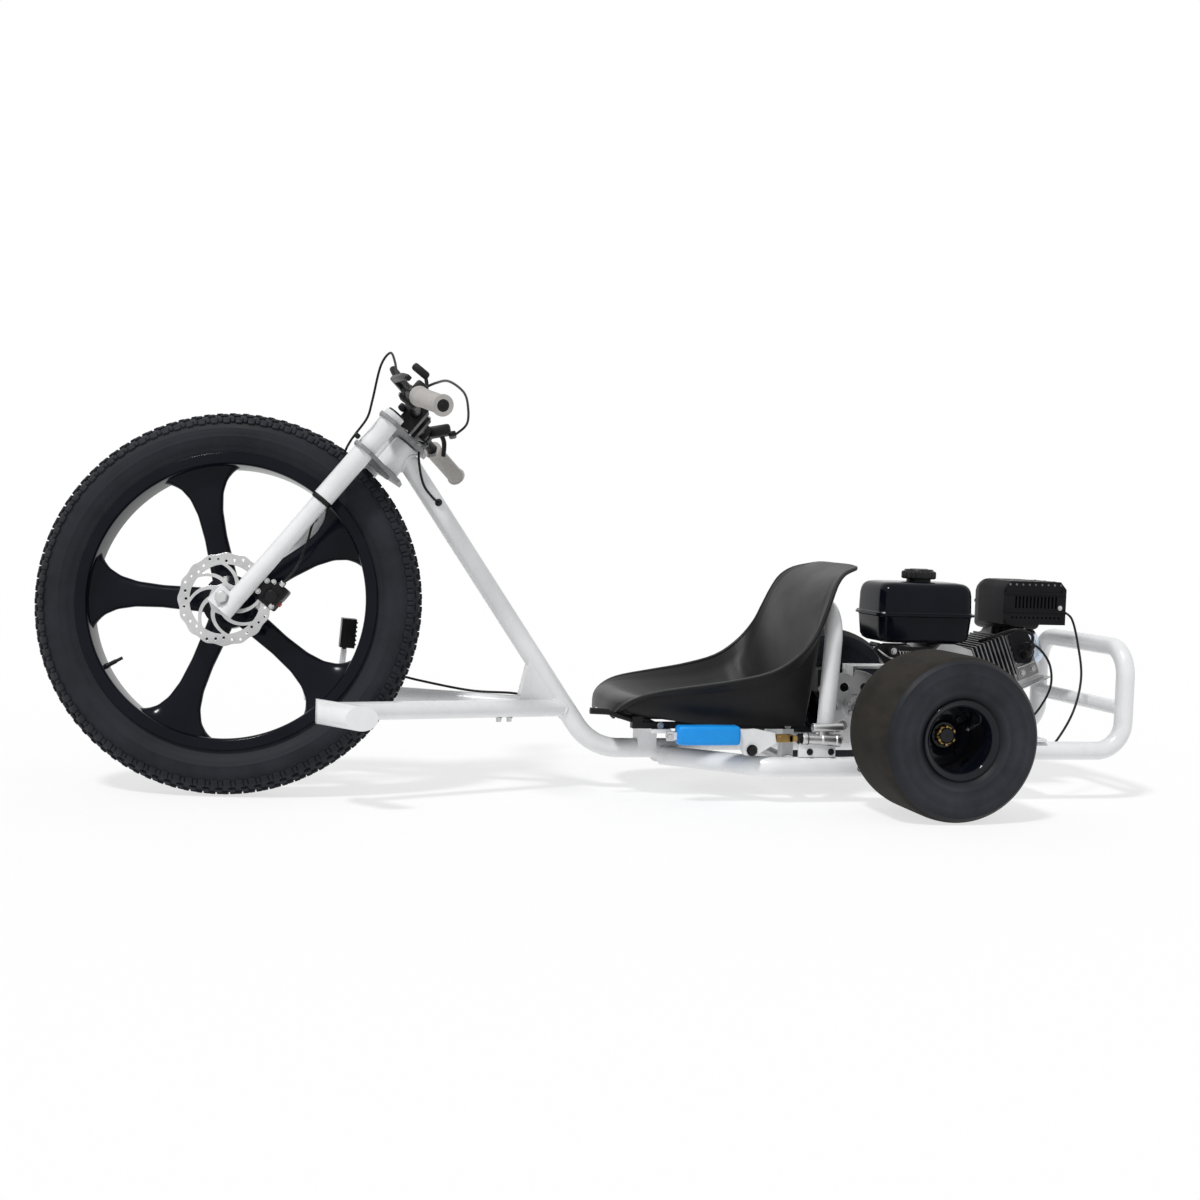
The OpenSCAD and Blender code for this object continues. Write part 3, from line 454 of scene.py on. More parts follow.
def facing(s, origin, direction=(0, 1, 0)):
    """A shape made along Z, stood at an origin along a direction, or to the left if none is given."""
    turn = np.array(Vector(direction).to_track_quat("Z", "Y").to_matrix())
    return s[0] @ turn.T + np.array(origin, float), s[1], s[2]


def bolt(width, height, washer=True):
    """A hexagon head with a chamfered top on a washer, standing on Z = 0."""
    r = width / math.sqrt(3)
    head = lathe([(0.01, 0), (r, 0), (r, height * 0.8), (r * 0.86, height), (0.01, height)], 6, False)
    rim = lathe([(0.01, 0), (r * 1.3, 0), (r * 1.3, height * 0.18), (0.01, height * 0.18)], 24, False)
    return joined(head, rim) if washer else head


print("makers ready: lathe, tube, block, slab, loft, bolt")

# %% [markdown]
# ## The solids that stay
# The white frame tubes are right as they are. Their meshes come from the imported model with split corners,
# so a weld modifier closes them, a small bevel softens the sheared edges as a file would, and each gets
# its finish. Remodelling the tubes would gain nothing that a camera can see.

# %% Finish the frame and the solids that stay
kept = {
    white_coat: "head_tube backbone gusset foot_tubes foot_pegs side_rails rear_bumper seat_hoop "
                "cross_members engine_plate fork_uppers fork_lowers brake_lever",
    plate_grey: "fork_crown",
    bright_steel: "engine_bracket front_axle axle_shaft sprocket rear_disc",
    cast_alloy: "crankcase clutch axle_carriers",
    dark_alloy: "engine_cylinder",
    heat_black: "muffler",
    black_plastic: "seat_slides foot_pedal throttle_linkage rear_caliper bar_clamps handlebar",
}
filed_edge = 0.0012
for mat, names in kept.items():
    for name in names.split():
        solid = nodes[name]
        solid.data.materials.clear()
        solid.data.materials.append(mat)
        if "custom_normal" in solid.data.attributes:
            solid.data.attributes.remove(solid.data.attributes["custom_normal"])
        solid.data.shade_smooth()
        weld = solid.modifiers.new("weld", "WELD")
        weld.merge_threshold = 0.00002
        soft = solid.modifiers.new("filed_edge", "BEVEL")
        soft.width = filed_edge
        soft.segments = 2
        soft.limit_method = "ANGLE"
        soft.angle_limit = math.radians(42)
        even = solid.modifiers.new("even", "WEIGHTED_NORMAL")
        even.keep_sharp = True
print("solids kept", sum(len(n.split()) for n in kept.values()))

# %% [markdown]
# ## Front tyre
# A wide knobbly tyre: a round carcass with a moulded rib on each flank and rows of small blocks. The
# blocks could be a displaced texture, but they stand out in the silhouette, so each one is a small curved
# block laid on the carcass in a loop round the wheel.

# %% Front tyre
tyre_ring, tyre_skin, tyre_top = 323.0, 43.6, 47.9
block_pitches = 92
block_sink, block_taper = 2.0, 0.16


def on_carcass(u, v, h, around, across):
    """A point of a tread block: u round the tyre, v across it, h up from the carcass, in millimetres."""
    flank = across + v / tyre_top
    r = tyre_ring + (tyre_skin + h) * math.cos(flank)
    a = around + u / (tyre_ring + tyre_top)
    return (r * math.cos(a), r * math.sin(a), (tyre_skin + h) * math.sin(flank))


flank_angles = np.radians(np.linspace(-126, 126, 85))
rib = 1.2 * np.exp(-((np.abs(np.degrees(flank_angles)) - 97) / 2.6) ** 2)
rib += 0.8 * np.exp(-((np.abs(np.degrees(flank_angles)) - 74) / 1.6) ** 2)
carcass_line = [(tyre_ring + (tyre_skin + k) * math.cos(a), (tyre_skin + k) * math.sin(a))
                for a, k in zip(flank_angles, rib)]
carcass_line = [(278, -31), (289, -33.4)] + carcass_line + [(289, 33.4), (278, 31)]
carcass = lathe(carcass_line, 144)

# Rows of blocks: across angle, size round, size across, shift round as a part of the pitch
block_rows = [(-52, 15, 17, 0.0), (-52, 8, 12, 0.5), (-29, 13, 11, 0.28), (-9.5, 12, 10, 0.70),
              (9.5, 12, 10, 0.20), (29, 13, 11, 0.78), (52, 15, 17, 0.5), (52, 8, 12, 0.0)]
unit_block = block((1, 1, 1), 0.12, segments=1)
knobs = []
for i in range(block_pitches):
    for angle, long, wide, shift in block_rows:
        around = (i + shift) * 2 * math.pi / block_pitches
        across = math.radians(angle)
        corners = []
        for x, y, z in unit_block[0]:
            narrow = 1 - block_taper * z
            height = (z + 0.5) * (tyre_top - tyre_skin + block_sink) - block_sink
            corners.append(on_carcass(x * long * narrow, y * wide * narrow, height, around, across))
        knobs.append(shape(corners, unit_block[1]))
front_tyre = piece("front_tyre_knobbly", joined(carcass, *knobs), front_rubber, "front_wheel", WHEEL,
                   ["front_tyre"], 40)
print("front tyre faces", len(front_tyre.data.polygons))

# %% [markdown]
# ## Front wheel
# The real wheel is one glossy moulding: a deep rim, five spokes that flare into it, and a plain hub. A
# spoke is lofted here from rounded sections along its length, so its edges roll like a moulding's. A flat
# plate with a bevel would be quicker, but it would catch the light along a hard line.

# %% Front wheel
rim_r, rim_in, rim_half = 287.0, 264.0, 40.0
spoke_count, spoke_turn = 5, -4.0
spoke_radii = [20, 70, 130, 180, 215, 240, 256, 268]
spoke_halves = [27, 24, 22, 25, 33, 46, 62, 82]
rim_line = rounded([(rim_in, -34), (rim_in + 4, -rim_half), (rim_r, -rim_half), (rim_r, -33.6),
                    (rim_r - 9, -33.6), (rim_r - 9, 33.6), (rim_r, 33.6), (rim_r, rim_half),
                    (rim_in + 4, rim_half), (rim_in, 34)], 2.5)
wheel_parts = [lathe(rim_line, 144)]
fine_r = np.linspace(24, 268, 62)
half_w = np.interp(fine_r, spoke_radii, spoke_halves)
half_w[1:-1] = (half_w[:-2] + half_w[1:-1] + half_w[2:]) / 3
half_t = 13.9 + 10 * np.clip((fine_r - 225) / 43, 0, 1) ** 2
around = np.linspace(0, 2 * math.pi, 40, endpoint=False)
round_x = np.sign(np.cos(around)) * np.abs(np.cos(around)) ** 0.80
round_y = np.sign(np.sin(around)) * np.abs(np.sin(around)) ** 0.92
sections = []
for r, w, t in zip(fine_r, half_w, half_t):
    bend = w * round_x / max(r, 60)
    sections.append(np.c_[r * np.cos(bend), max(r, 60) * np.sin(bend), t * round_y])
spoke = loft(sections)
wheel_parts += [turned(spoke, spoke_turn + 360 / spoke_count * k) for k in range(spoke_count)]
hub_line = rounded([(8, -66), (16, -66), (16, -46), (34, -46), (35, -20), (52, -13), (52, 13), (35, 20),
                    (34, 52), (16, 52), (16, 66), (8, 66)], 3)
wheel_parts.append(lathe(hub_line, 72))
front_wheel = piece("front_wheel_moulding", joined(*wheel_parts), gloss_black, "front_wheel", WHEEL,
                    ["front_wheel"], 40)
valve_angle = 29.0
stem = spun([(0.5, 0), (5.5, 0), (4.2, 8), (4.2, 20), (3.2, 22), (3.2, 34), (0.5, 34)], 0.8, 20)
stem = turned(facing(stem, (rim_in, 0, 0), (-1, 0, 0)), valve_angle)
piece("front_valve", stem, cable_black, "front_wheel", WHEEL)
print("front wheel faces", len(front_wheel.data.polygons))

# %% [markdown]
# ## Brake rotor
# A thin steel ring with a waved edge and rows of cooling holes, held by swept arms on a six-bolt middle.
# Boolean cuts would work, but a filled curve with inner loops gives the same plate with clean edges in
# one step.


# %% A plate with holes from closed outlines
def cut_plate(outlines, half, bevel):
    """A plate about Z = 0 whose first outline is its edge and whose others are holes."""
    data = bpy.data.curves.new("cut", "CURVE")
    data.dimensions = "2D"
    data.fill_mode = "BOTH"
    data.extrude = half - bevel
    data.bevel_depth = bevel
    data.bevel_resolution = 1
    data.offset = -bevel
    for outline in outlines:
        spline = data.splines.new("POLY")
        spline.points.add(len(outline) - 1)
        spline.points.foreach_set("co", [c for x, y in outline for c in (x, y, 0, 1)])
        spline.use_cyclic_u = True
    holder = bpy.data.objects.new("cut", data)
    scene.collection.objects.link(holder)
    mesh = bpy.data.meshes.new_from_object(holder.evaluated_get(bpy.context.evaluated_depsgraph_get()))
    s = shape([v.co[:] for v in mesh.vertices], [list(p.vertices) for p in mesh.polygons])
    bpy.data.objects.remove(holder)
    bpy.data.meshes.remove(mesh)
    return s


def circle(r, x=0, y=0, n=24):
    a = np.arange(n) * 2 * math.pi / n
    return np.c_[x + r * np.cos(a), y + r * np.sin(a)]


def polar(r, degrees):
    return np.array((r * math.cos(math.radians(degrees)), r * math.sin(math.radians(degrees))))


# %% Brake rotor
rotor_z, rotor_half = 56.0, 0.95
arms, ring_in, hub_out, sweep = 8, 67.0, 31.0, 48.0
waves = np.arange(192) * 2 * math.pi / 192
edge_r = 88.4 + 1.4 * np.cos(16 * waves)
outlines = [np.c_[edge_r * np.cos(waves), edge_r * np.sin(waves)], circle(16.2, n=48)]
pitch_deg = 360 / arms
for k in range(arms):
    radii = np.linspace(hub_out, ring_in, 12)
    lean = sweep * (radii - hub_out) / (ring_in - hub_out)
    arm_deg = np.degrees(5.2 / radii)
    near = [polar(r, k * pitch_deg + s + a) for r, s, a in zip(radii, lean, arm_deg)]
    far = [polar(r, (k + 1) * pitch_deg + s - a) for r, s, a in zip(radii, lean, arm_deg)]
    start = k * pitch_deg + sweep + arm_deg[-1]
    end = (k + 1) * pitch_deg + sweep - arm_deg[-1]
    ring_arc = [polar(ring_in, d) for d in np.linspace(start, end, 10)[1:-1]]
    outlines.append(rounded(np.array(near + ring_arc + far[::-1]), 2.5, 2))
for k in range(32):
    row = k % 4
    hole_r = [73.5, 78, 82.5, 77][row]
    outlines.append(circle([2.6, 2.2, 2.6, 2.6][row], *polar(hole_r, k * 360 / 32), 14))
rotor = shifted(cut_plate(outlines, rotor_half, 0.3), z=rotor_z)
carrier = spun([(16.2, 52.4), (30, 52.4), (30, 54.8), (16.2, 54.8)], 0.6, 48)
rotor_bolts = [shifted(bolt(5, 3.4), *polar(22, 60 * k), rotor_z + 1) for k in range(6)]
brake_rotor = piece("brake_rotor_waved", joined(rotor, carrier, *rotor_bolts), bright_steel,
                    "front_wheel", WHEEL, ["brake_rotor"])
print("rotor faces", len(brake_rotor.data.polygons))

# %% [markdown]
# ## Fork
# Each fork leg is a thin lower tube sliding in a thick upper one, with a rubber seal where they meet, and
# a disc caliper behind the left leg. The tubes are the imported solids. Seals, caps and the caliper are
# added, because they are what makes two white cylinders read as a suspension fork.

# %% Fork seals, caps and crown bolts
leg_x, leg_y, seal_z, leg_top_z = 40.0, 84.0, 266.0, 478.0
seal = spun([(17.1, seal_z - 10), (20.2, seal_z - 9), (21.4, seal_z - 5), (21.4, seal_z), (17.1, seal_z)],
            1, 40)
cap = spun([(0.5, leg_top_z), (18.5, leg_top_z), (17.5, leg_top_z + 4), (9, leg_top_z + 5),
                     (9, leg_top_z + 3), (0.5, leg_top_z + 3)], 0.8, 40)
legs = [shifted(part, leg_x, side * leg_y) for part in (seal, cap) for side in (-1, 1)]
piece("fork_seals", joined(*legs), black_plastic, "steering", FORK)
crown_bolts = [shifted(bolt(10, 5), x, side * y, 466.0)
               for side in (-1, 1) for x, y in ((10, 66), (4, 44))]
clamp_bolts = [shifted(bolt(8, 4), x, side * 37, 529.0) for side in (-1, 1) for x in (9, 31)]
axle_caps = [facing(bolt(20, 3, False), (60, side * 104, 0), (0, side, 0)) for side in (-1, 1)]
piece("fork_bolts", joined(*crown_bolts, *clamp_bolts, *axle_caps), bright_steel, "steering", FORK)
print("fork dressed, seals at", seal_z, "mm")

# %% Front caliper
caliper_halves = [block((38, 12, 48), 4, (-6, y, 64)) for y in (43.5, 68.5)]
bridge = block((16, 37, 26), 4, (-18, 56, 77))
ribs = [block((3, 2.4, 40), 0.8, (-18 + 8 * k, 75, 64), 1) for k in range(4)]
piston = facing(spun([(0.5, 0), (13, 0), (13, 3), (10, 5), (0.5, 5)], 0.8, 32), (-6, 74, 60))
lug = block((22, 12, 36), 3, (17, 70, 65))
bit_places = ((-19, 74.5, 46), (8, 74.5, 84), (19, 76, 52), (19, 76, 78))
steel_bits = [facing(bolt(7, 4), place) for place in bit_places]
clip = block((10, 14, 9), 2.5, (-24, 56, 58))
banjo = facing(spun([(0.5, 0), (6, 0), (6, 9), (0.5, 9)], 1, 24), (-8, 78, 88), (0, 0.3, 1))
piece("front_caliper_cast", joined(*caliper_halves, bridge, *ribs, piston, lug, tagged(banjo, 1),
                                   *[tagged(b, 1) for b in steel_bits], tagged(clip, 2)),
      [black_plastic, bright_steel, red_clip], "steering", FORK, ["front_caliper"])
print("front caliper made")

# %% [markdown]
# ## Handlebar controls
# On the bar sit two ribbed grey grips with open ends, two brake levers with their hydraulic bodies, and a
# thumb throttle whose paddle stands above the left grip. The grips are turned profiles and the levers
# rounded plates. Sculpting them would take longer and show no more at this distance.

# %% Grips
bar_z, bar_x, bar_bend_y, grip_end = 511.0, 20.0, 219.0, np.array((-66.0, 368.0, 511.0))
grip_in = np.array((86.0, -149.0, 0)) / math.hypot(86, 149)
grip_len = 126.0
grip_line = [(11.3, 0), (18.6, 0), (19.9, 1.2), (19.9, 4), (18.4, 5.5)]
for k in range(18):
    t = 8 + 6.1 * k
    grip_line += [(16.7, t), (17.5, t + 1.1), (17.5, t + 3.9), (16.7, t + 5)]
grip_line += [(18.8, 120), (19.2, 122), (19.2, 125), (18.4, grip_len), (11.3, grip_len)]
grip = facing(lathe(grip_line, 40), grip_end, grip_in)
plug = facing(lathe([(0.01, -1), (4, -1), (5, 0.5), (7.6, 0.5), (9.6, -0.6), (11, 0.6), (11, 4),
                     (0.01, 4)], 28), grip_end, grip_in)
piece("grips_ribbed", joined(grip, mirrored(grip)), grey_rubber, "steering", FORK, ["grips"])
piece("grip_plugs", joined(plug, mirrored(plug)), cable_black, "steering", FORK)
print("grips", grip_len, "mm long")

# %% Brake levers and thumb throttle
control_y = bar_bend_y - 51
lever_side = [(10, 4), (44, 10), (68, 46), (34, 162), (18, 194), (8, 190), (22, 158), (54, 48), (36, 28),
              (10, 26)]
lever = shifted(slab(rounded(lever_side, 6), -4.6, 4.6, 2), 0, control_y, bar_z)
perch = block((40, 28, 33), 6, (bar_x, control_y + 15, bar_z))
fluid = tube(line_through([(86, 163, 532), (66, 176, 525), (44, 190, 517), (24, 200, 511)], 4),
             np.linspace(6.5, 12.5, 13), 20)
collar = facing(spun([(11.2, 0), (16, 0), (16, 13), (11.2, 13)], 2, 32), (bar_x, 152, bar_z))
perch_bolts = [facing(bolt(6, 3), (bar_x + 20, control_y + 15, bar_z + dz), (1, 0, 0))
               for dz in (-10, 10)]
lever_set = joined(lever, perch, fluid, collar, *[tagged(b, 1) for b in perch_bolts])
throttle_body = joined(block((26, 20, 26), 5, (14, 208, bar_z + 18)),
                       tube(line_through([(12, 206, 524), (8, 202, 540), (20, 200, 553)], 5), 3.6, 12),
                       block((36, 14, 15), 5, (36, 200, 557)))
switch = joined(block((34, 22, 34), 6, (bar_x - 2, -140, bar_z + 2)),
                shifted(turned(block((24, 24, 46), 6), -40, "Y"), bar_x - 28, -146, bar_z + 26),
                shifted(turned(block((12, 34, 16), 4), -40, "Y"), bar_x - 52, -152, bar_z + 38),
                tube(line_through([(-8, -150, 536), (-26, -168, 528), (-40, -190, 508)], 5), 5, 12))
guides = [block((14, 18, 14), 4, (44, y, 500)) for y in (-60, 60)]
piece("bar_controls", joined(lever_set, mirrored(lever_set), throttle_body, switch, *guides),
      [black_plastic, bright_steel], "steering", FORK, ["controls"])
print("levers at", control_y, "mm from the middle")

# %% [markdown]
# ## Cables and hoses
# The lines are thin and held at both ends by the trike, so they are tubes through the same points as the
# solids. One throttle cable runs from the bar into the backbone: it crosses the steering joint, so it is
# left on neither body. A curve object with a bevel would do for the others, but one maker serves them
# all.

# %% Lines on the fork and the bar
line_r = 2.5
hose_pts = [(58, 222, 517), (86, 184, 541), (112, 150, 554), (114, 128, 526), (86, 116, 468),
            (72, 112, 436), (71, 100, 400), (71, 90, 382), (68, 78, 362), (56, 64, 338), (40, 60.5, 304),
            (30, 60.5, 226), (10, 63, 180), (-6, 72, 132), (-8, 78, 90)]
loop_pts = [(10, 208, 533), (3, 186, 560), (0, 110, 590), (-20, 20, 606), (-34, -50, 600),
            (-46, -110, 580), (-38, -140, 552)]
hose_clips = [block((12, 9, 10), 3, (66, 101, 398)), block((10, 10, 10), 3, (30, 62, 226))]
hose_run = line_through(hose_pts, 10)
piece("front_brake_hose", joined(tube(hose_run, line_r - 0.2, 12), *hose_clips), cable_black, "steering",
      FORK, ["front_hose"])
piece("bar_loop_cable", tube(line_through(loop_pts, 10), line_r, 12), cable_black, "steering", FORK)
print("hose", round(float(np.linalg.norm(np.diff(hose_run, axis=0), axis=1).sum())), "mm")


# %% Throttle cable from the bar into the backbone
def in_trike(point):
    """A point of the fork's axes as seen from the rear axle's line."""
    return (FORK[:3, :3] @ np.array(point, float) + FORK[:3, 3]) - TRIKE[:3, 3]


grommet = np.array((949.0, 19.0, 574.0))
bar_end = in_trike((6, -118, 498))
drop_pts = [grommet, (962, 24, 584), (980, 30, 606), (990, 34, 640), (990, 20, 676),
            bar_end + (-10, 20, -14), bar_end]
drop = piece("throttle_drop_cable", tube(line_through(drop_pts, 10), line_r, 12), cable_black)
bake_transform(drop)
bung = spun([(2.6, -2), (7, -2), (8, 1), (6, 4), (2.6, 5)], 0.8, 24)
piece("cable_bung", facing(bung, grommet, (0.4, 0.8, 0.3)), cable_black, "frame")
print("throttle cable points", len(drop_pts))

# %% Lines on the frame
pedal_line = [(1096, -166, 216), (1050, -146, 226), (960, -112, 208), (860, -71, 192.7),
              (778, -41, 191.2), (738, -47, 182), (700, -38, 162), (650, -28, 120), (612, -26, 96),
              (540, -22.7, 85)]
stop_line = [(-420.5, 30, 385), (-432, 44, 370), (-438, 62, 320), (-434, 90, 250), (-402, 120, 180),
             (-345, 156, 122), (-318, 158.3, 105)]
engine_line = [(-312, 34.7, 312), (-326, 50, 318), (-350, 60, 306), (-374, 64, 270), (-378, 60, 220),
               (-350, 50, 164), (-314, 42, 140), (-292, 40, 134.6)]
routes = [tube(line_through(route, 10), line_r, 12) for route in (pedal_line, stop_line, engine_line)]
piece("frame_lines", joined(*routes), cable_black, "frame", TRIKE, ["frame_cables"])
print("frame lines", len(routes))

# %% [markdown]
# ## Weld beads and small hardware of the frame
# Every joint of the real frame is a weld: a rippled bead where one tube's end meets another tube's side.
# The bead follows the curve where the two cylinders cross, which a short formula gives, so no modelling
# by eye is needed.


# %% Weld beads
def saddle(start, along, r, big_at, big_along, big_r, steps=72):
    """The closed curve where a thin tube, going along from start, meets a thick one."""
    along = np.array(along, float) / np.linalg.norm(along)
    big = np.array(big_along, float) / np.linalg.norm(big_along)
    side = np.cross(along, big)
    side /= np.linalg.norm(side)
    other = np.cross(along, side)
    curve = []
    for a in np.arange(steps) * 2 * math.pi / steps:
        p = np.array(start, float) + r * (math.cos(a) * side + math.sin(a) * other)
        gap = p - np.array(big_at, float)
        flat_gap = gap - big * (gap @ big)
        flat_dir = along - big * (along @ big)
        qa, qb = flat_dir @ flat_dir, 2 * flat_gap @ flat_dir
        qc = flat_gap @ flat_gap - big_r ** 2
        curve.append(p + along * (-qb + math.sqrt(max(0, qb * qb - 4 * qa * qc))) / (2 * qa))
    return np.array(curve)


def bead(curve, r=2.6):
    ripple = r * (1 + 0.12 * np.sin(np.arange(len(curve)) * math.pi * 0.66))
    return tube(curve, ripple, 10, True)


bend_at = np.array((619.0, 0, 85.0))
head_mid = steer_at + 439 * steer_up - TRIKE[:3, 3]
tube_dir = (head_mid - bend_at) / np.linalg.norm(head_mid - bend_at)
foot_root, foot_tip = np.array((672.0, 0, 167.0)), np.array((1172.0, 188.0, 180.0))
foot_dir = (foot_tip - foot_root) / np.linalg.norm(foot_tip - foot_root)
foot_bead = bead(saddle(foot_root, foot_dir, 17.5, bend_at, tube_dir, 20))
bar_bead = bead(saddle((-484, 180, 193), (0, -1, 0), 15, (-484, 180, 193), (0, 0, 1), 19), 2.2)
head_bead = bead(saddle(head_mid, -tube_dir, 20, head_mid, steer_up, 26), 2.8)
beads = [foot_bead, mirrored(foot_bead), bar_bead, mirrored(bar_bead), head_bead]
piece("weld_beads", joined(*beads), white_coat, "frame")
print("weld beads", len(beads))

# %% Studs, plate bolts and tube ends
studs = [facing(bolt(9, 9), foot_root + foot_dir * d - (0, 0, 17.2), (0, 0, -1)) for d in (136, 160)]
deck_bolts = [shifted(bolt(13, 7), -195 + dx * 49, -30 + dy * 40, 132) for dx in (-1, 1)
              for dy in (-1, 1)]
carrier_bolts = [facing(bolt(11, 6), (24 * math.cos(a), side * 191, 160 + 27 * math.sin(a)), (0, side, 0))
                 for side in (-1, 1) for a in np.radians((30, 150, 270))]
rail_bolts = [facing(bolt(10, 6), (x, 199.4, 73)) for x in (60, 110)]
seat_bolts = [facing(bolt(9, 5), (x, side * 114, 146), (0, side, 0)) for side in (-1, 1)
              for x in (236, 505)]
pedal_foot, pedal_top = np.array((1118.0, -169, 182)), np.array((1108.0, -169, 284))
sleeve = tube([pedal_foot + t * (pedal_top - pedal_foot) for t in np.linspace(0.24, 0.82, 6)], 6.2, 16)
piece("pedal_sleeve", sleeve, white_coat, "frame")
pad_ribs = [shifted(turned(block((3, 35.4, 4.2), 1.2, segments=1), -4, "Y"), 1088.6 - 0.63 * k, -169,
                    276 + 9 * k) for k in range(6)]
piece("pedal_pad_ribs", joined(*pad_ribs), black_plastic, "frame")
piece("frame_bolts", joined(*studs, *deck_bolts, *carrier_bolts, *rail_bolts, *seat_bolts), bright_steel,
      "frame")
print("frame bolts", len(studs + deck_bolts + carrier_bolts + rail_bolts + seat_bolts))

# %% [markdown]
# ## Seat
# The bucket is one moulded shell with a vinyl-like skin, a rolled rim with a double bead, and creases
# where the back turns into the base. It is a grid of points between a middle line and a rim line, the
# same rows as the solid but finer. Thin skirts hang from its flanks, and a painted sheen lightens the
# skin where it looks up. A cloth simulation suits cushions; a stiff shell has no slack to simulate.


# %% Painted sheen on the seat
def paint_sheen_up(mat, painted_sheen, least, most):
    """Lighten a finish where its surface looks up: a painted sheen standing in for the light's glare there.
    """
    tree = mat.node_tree
    shader = tree.nodes["Principled BSDF"]
    lie = node(tree, "NewGeometry")
    parts = node(tree, "SeparateXYZ")
    tree.links.new(lie.outputs["Normal"], parts.inputs[0])
    cover = node(tree, "MapRange", From_Min=least, From_Max=most)
    tree.links.new(parts.outputs["Z"], cover.inputs["Value"])
    both = node(tree, "Mix")
    both.data_type = "RGBA"
    both.inputs["B"].default_value = (*painted_sheen, 1)
    tree.links.new(cover.outputs[0], both.inputs["Factor"])
    tree.links.new(shader.inputs["Base Color"].links[0].from_socket, both.inputs["A"])
    tree.links.new(both.outputs["Result"], shader.inputs["Base Color"])


# Painted sheen: the seat skin is lightened where it faces up, as the light's glare would show.
paint_sheen_up(seat_skin, (0.052, 0.052, 0.053), 0.45, 1.0)
print("dust on", seat_skin.name)


# %% A sheet between two grids
def two_skins(upper, lower):
    """A closed sheet between two grids of points, and the places along its edge."""
    rows_n, cols_n = upper.shape[:2]
    skin = np.arange(rows_n * cols_n).reshape(rows_n, cols_n)
    under = skin + rows_n * cols_n
    faces = []
    for grid in (skin, under):
        corners = [grid[:-1, :-1], grid[1:, :-1], grid[1:, 1:], grid[:-1, 1:]]
        faces += np.stack(corners, 2).reshape(-1, 4).tolist()
    first, last = [(0, j) for j in range(cols_n - 1)], [(rows_n - 1, j) for j in range(cols_n - 1, 0, -1)]
    right, left = [(i, cols_n - 1) for i in range(rows_n - 1)], [(i, 0) for i in range(rows_n - 1, 0, -1)]
    edge = first + right + last + left
    for a, b in zip(edge, edge[1:] + edge[:1]):
        faces.append((skin[a], skin[b], under[b], under[a]))
    return shape(np.concatenate([upper.reshape(-1, 3), lower.reshape(-1, 3)]), faces), edge


print("sheet maker ready")

# %% Seat shell
# Rows from the front lip to the top: middle x and z, rim half width, rim x and z
seat_rows = [(604, 170, 84, 598, 160), (594, 194, 122, 586, 186), (566, 203, 142, 560, 206),
             (520, 192, 153, 522, 219), (452, 174, 163, 446, 231), (380, 166, 172, 372, 243),
             (312, 166, 182, 300, 262), (262, 180, 188, 250, 294), (236, 218, 188, 216, 334),
             (220, 270, 185, 197, 374), (207, 332, 178, 182, 410), (191, 390, 166, 166, 441),
             (160, 442, 146, 142, 462), (106, 478, 118, 104, 474)]
seat_cols, seat_steps, seat_wall, seat_crown = 30, 7, 7.0, 4.0
middle = line_through([(x, 0, z) for x, z, _, _, _ in seat_rows], seat_steps)
rim = line_through([(x, w, z) for _, _, w, x, z in seat_rows], seat_steps)
v = np.linspace(-1, 1, 2 * seat_cols + 1)
lift = np.abs(v) ** 3.6
inner = np.stack([middle[:, None, 0] + (rim[:, None, 0] - middle[:, None, 0]) * lift,
                  rim[:, None, 1] * v[None, :],
                  middle[:, None, 2] + (rim[:, None, 2] - middle[:, None, 2]) * lift], 2)
down = np.cross(np.gradient(inner, axis=0), np.gradient(inner, axis=1))
down /= np.linalg.norm(down, axis=2)[:, :, None]
outer = inner + (seat_wall + seat_crown * (1 - v ** 2))[None, :, None] * down
row_at = np.arange(len(middle))[:, None] / seat_steps
crease = np.exp(-((row_at - 6.6) / 0.75) ** 2) * np.exp(-((np.abs(v)[None, :] - 0.62) / 0.22) ** 2)
crease *= np.sin(row_at * 9.0 + np.abs(v)[None, :] * 16.0)
panel = 0.9 * np.exp(-((np.abs(v) - 0.90) / 0.018) ** 2)[None, :]
inner = inner + (1.7 * crease + panel)[:, :, None] * down
shell, edge = two_skins(inner, outer)
rows_n, cols_n = inner.shape[:2]
rim_mid = np.array([(inner[e] + outer[e]) / 2 for e in edge])
inset = np.array([inner[min(max(i, 2), rows_n - 3), min(max(j, 2), cols_n - 3)] for i, j in edge])
rolled = tube(rim_mid[::2], 4.6, 12, True)
piped = tube(inset[::2], 1.7, 8, True)
seat_made = piece("seat_bucket_shell", joined(shell, rolled, piped), seat_skin, "frame", TRIKE, ["seat"],
                  50)
pan_side = [(592, 157), (588, 176), (566, 189), (520, 178), (452, 160), (440, 155)]
piece("seat_front_pan", upright(slab(rounded(pan_side, 7), -94, 94, 2)), black_plastic, "frame")
skirt_low, skirt_back, skirt_wall = 151.0, 214.0, 3.0
skirt_rows = slice(seat_steps, 9 * seat_steps + 1)
skirt_top = outer[skirt_rows, -3]
skirt_foot = np.c_[np.maximum(skirt_top[:, 0], skirt_back), 0.84 * skirt_top[:, 1],
                   skirt_low + 18 * np.clip((skirt_top[:, 0] - 430) / 150, 0, 1)]
hang = np.linspace(0, 1, 9)[None, :, None]
skirt = skirt_top[:, None] * (1 - hang) + skirt_foot[:, None] * hang
skirt[:, :, 1] += 6 * np.sin(math.pi * hang[:, :, 0])
near_skirt, _ = two_skins(skirt, skirt - (0, skirt_wall, 0))
piece("seat_skirts", joined(near_skirt, mirrored(near_skirt)), seat_skin, "frame", sharp=50)
print("seat faces", len(seat_made.data.polygons))

# %% [markdown]
# ## Hand brake
# Beside the seat a flat lever with a blue padded grip pulls a brass clevis into a small hydraulic
# cylinder under a rubber boot. Turned profiles make the cylinder and the boot, and the grip is lofted
# from rounded rectangles, so that its ends roll over as the real sleeve's do.


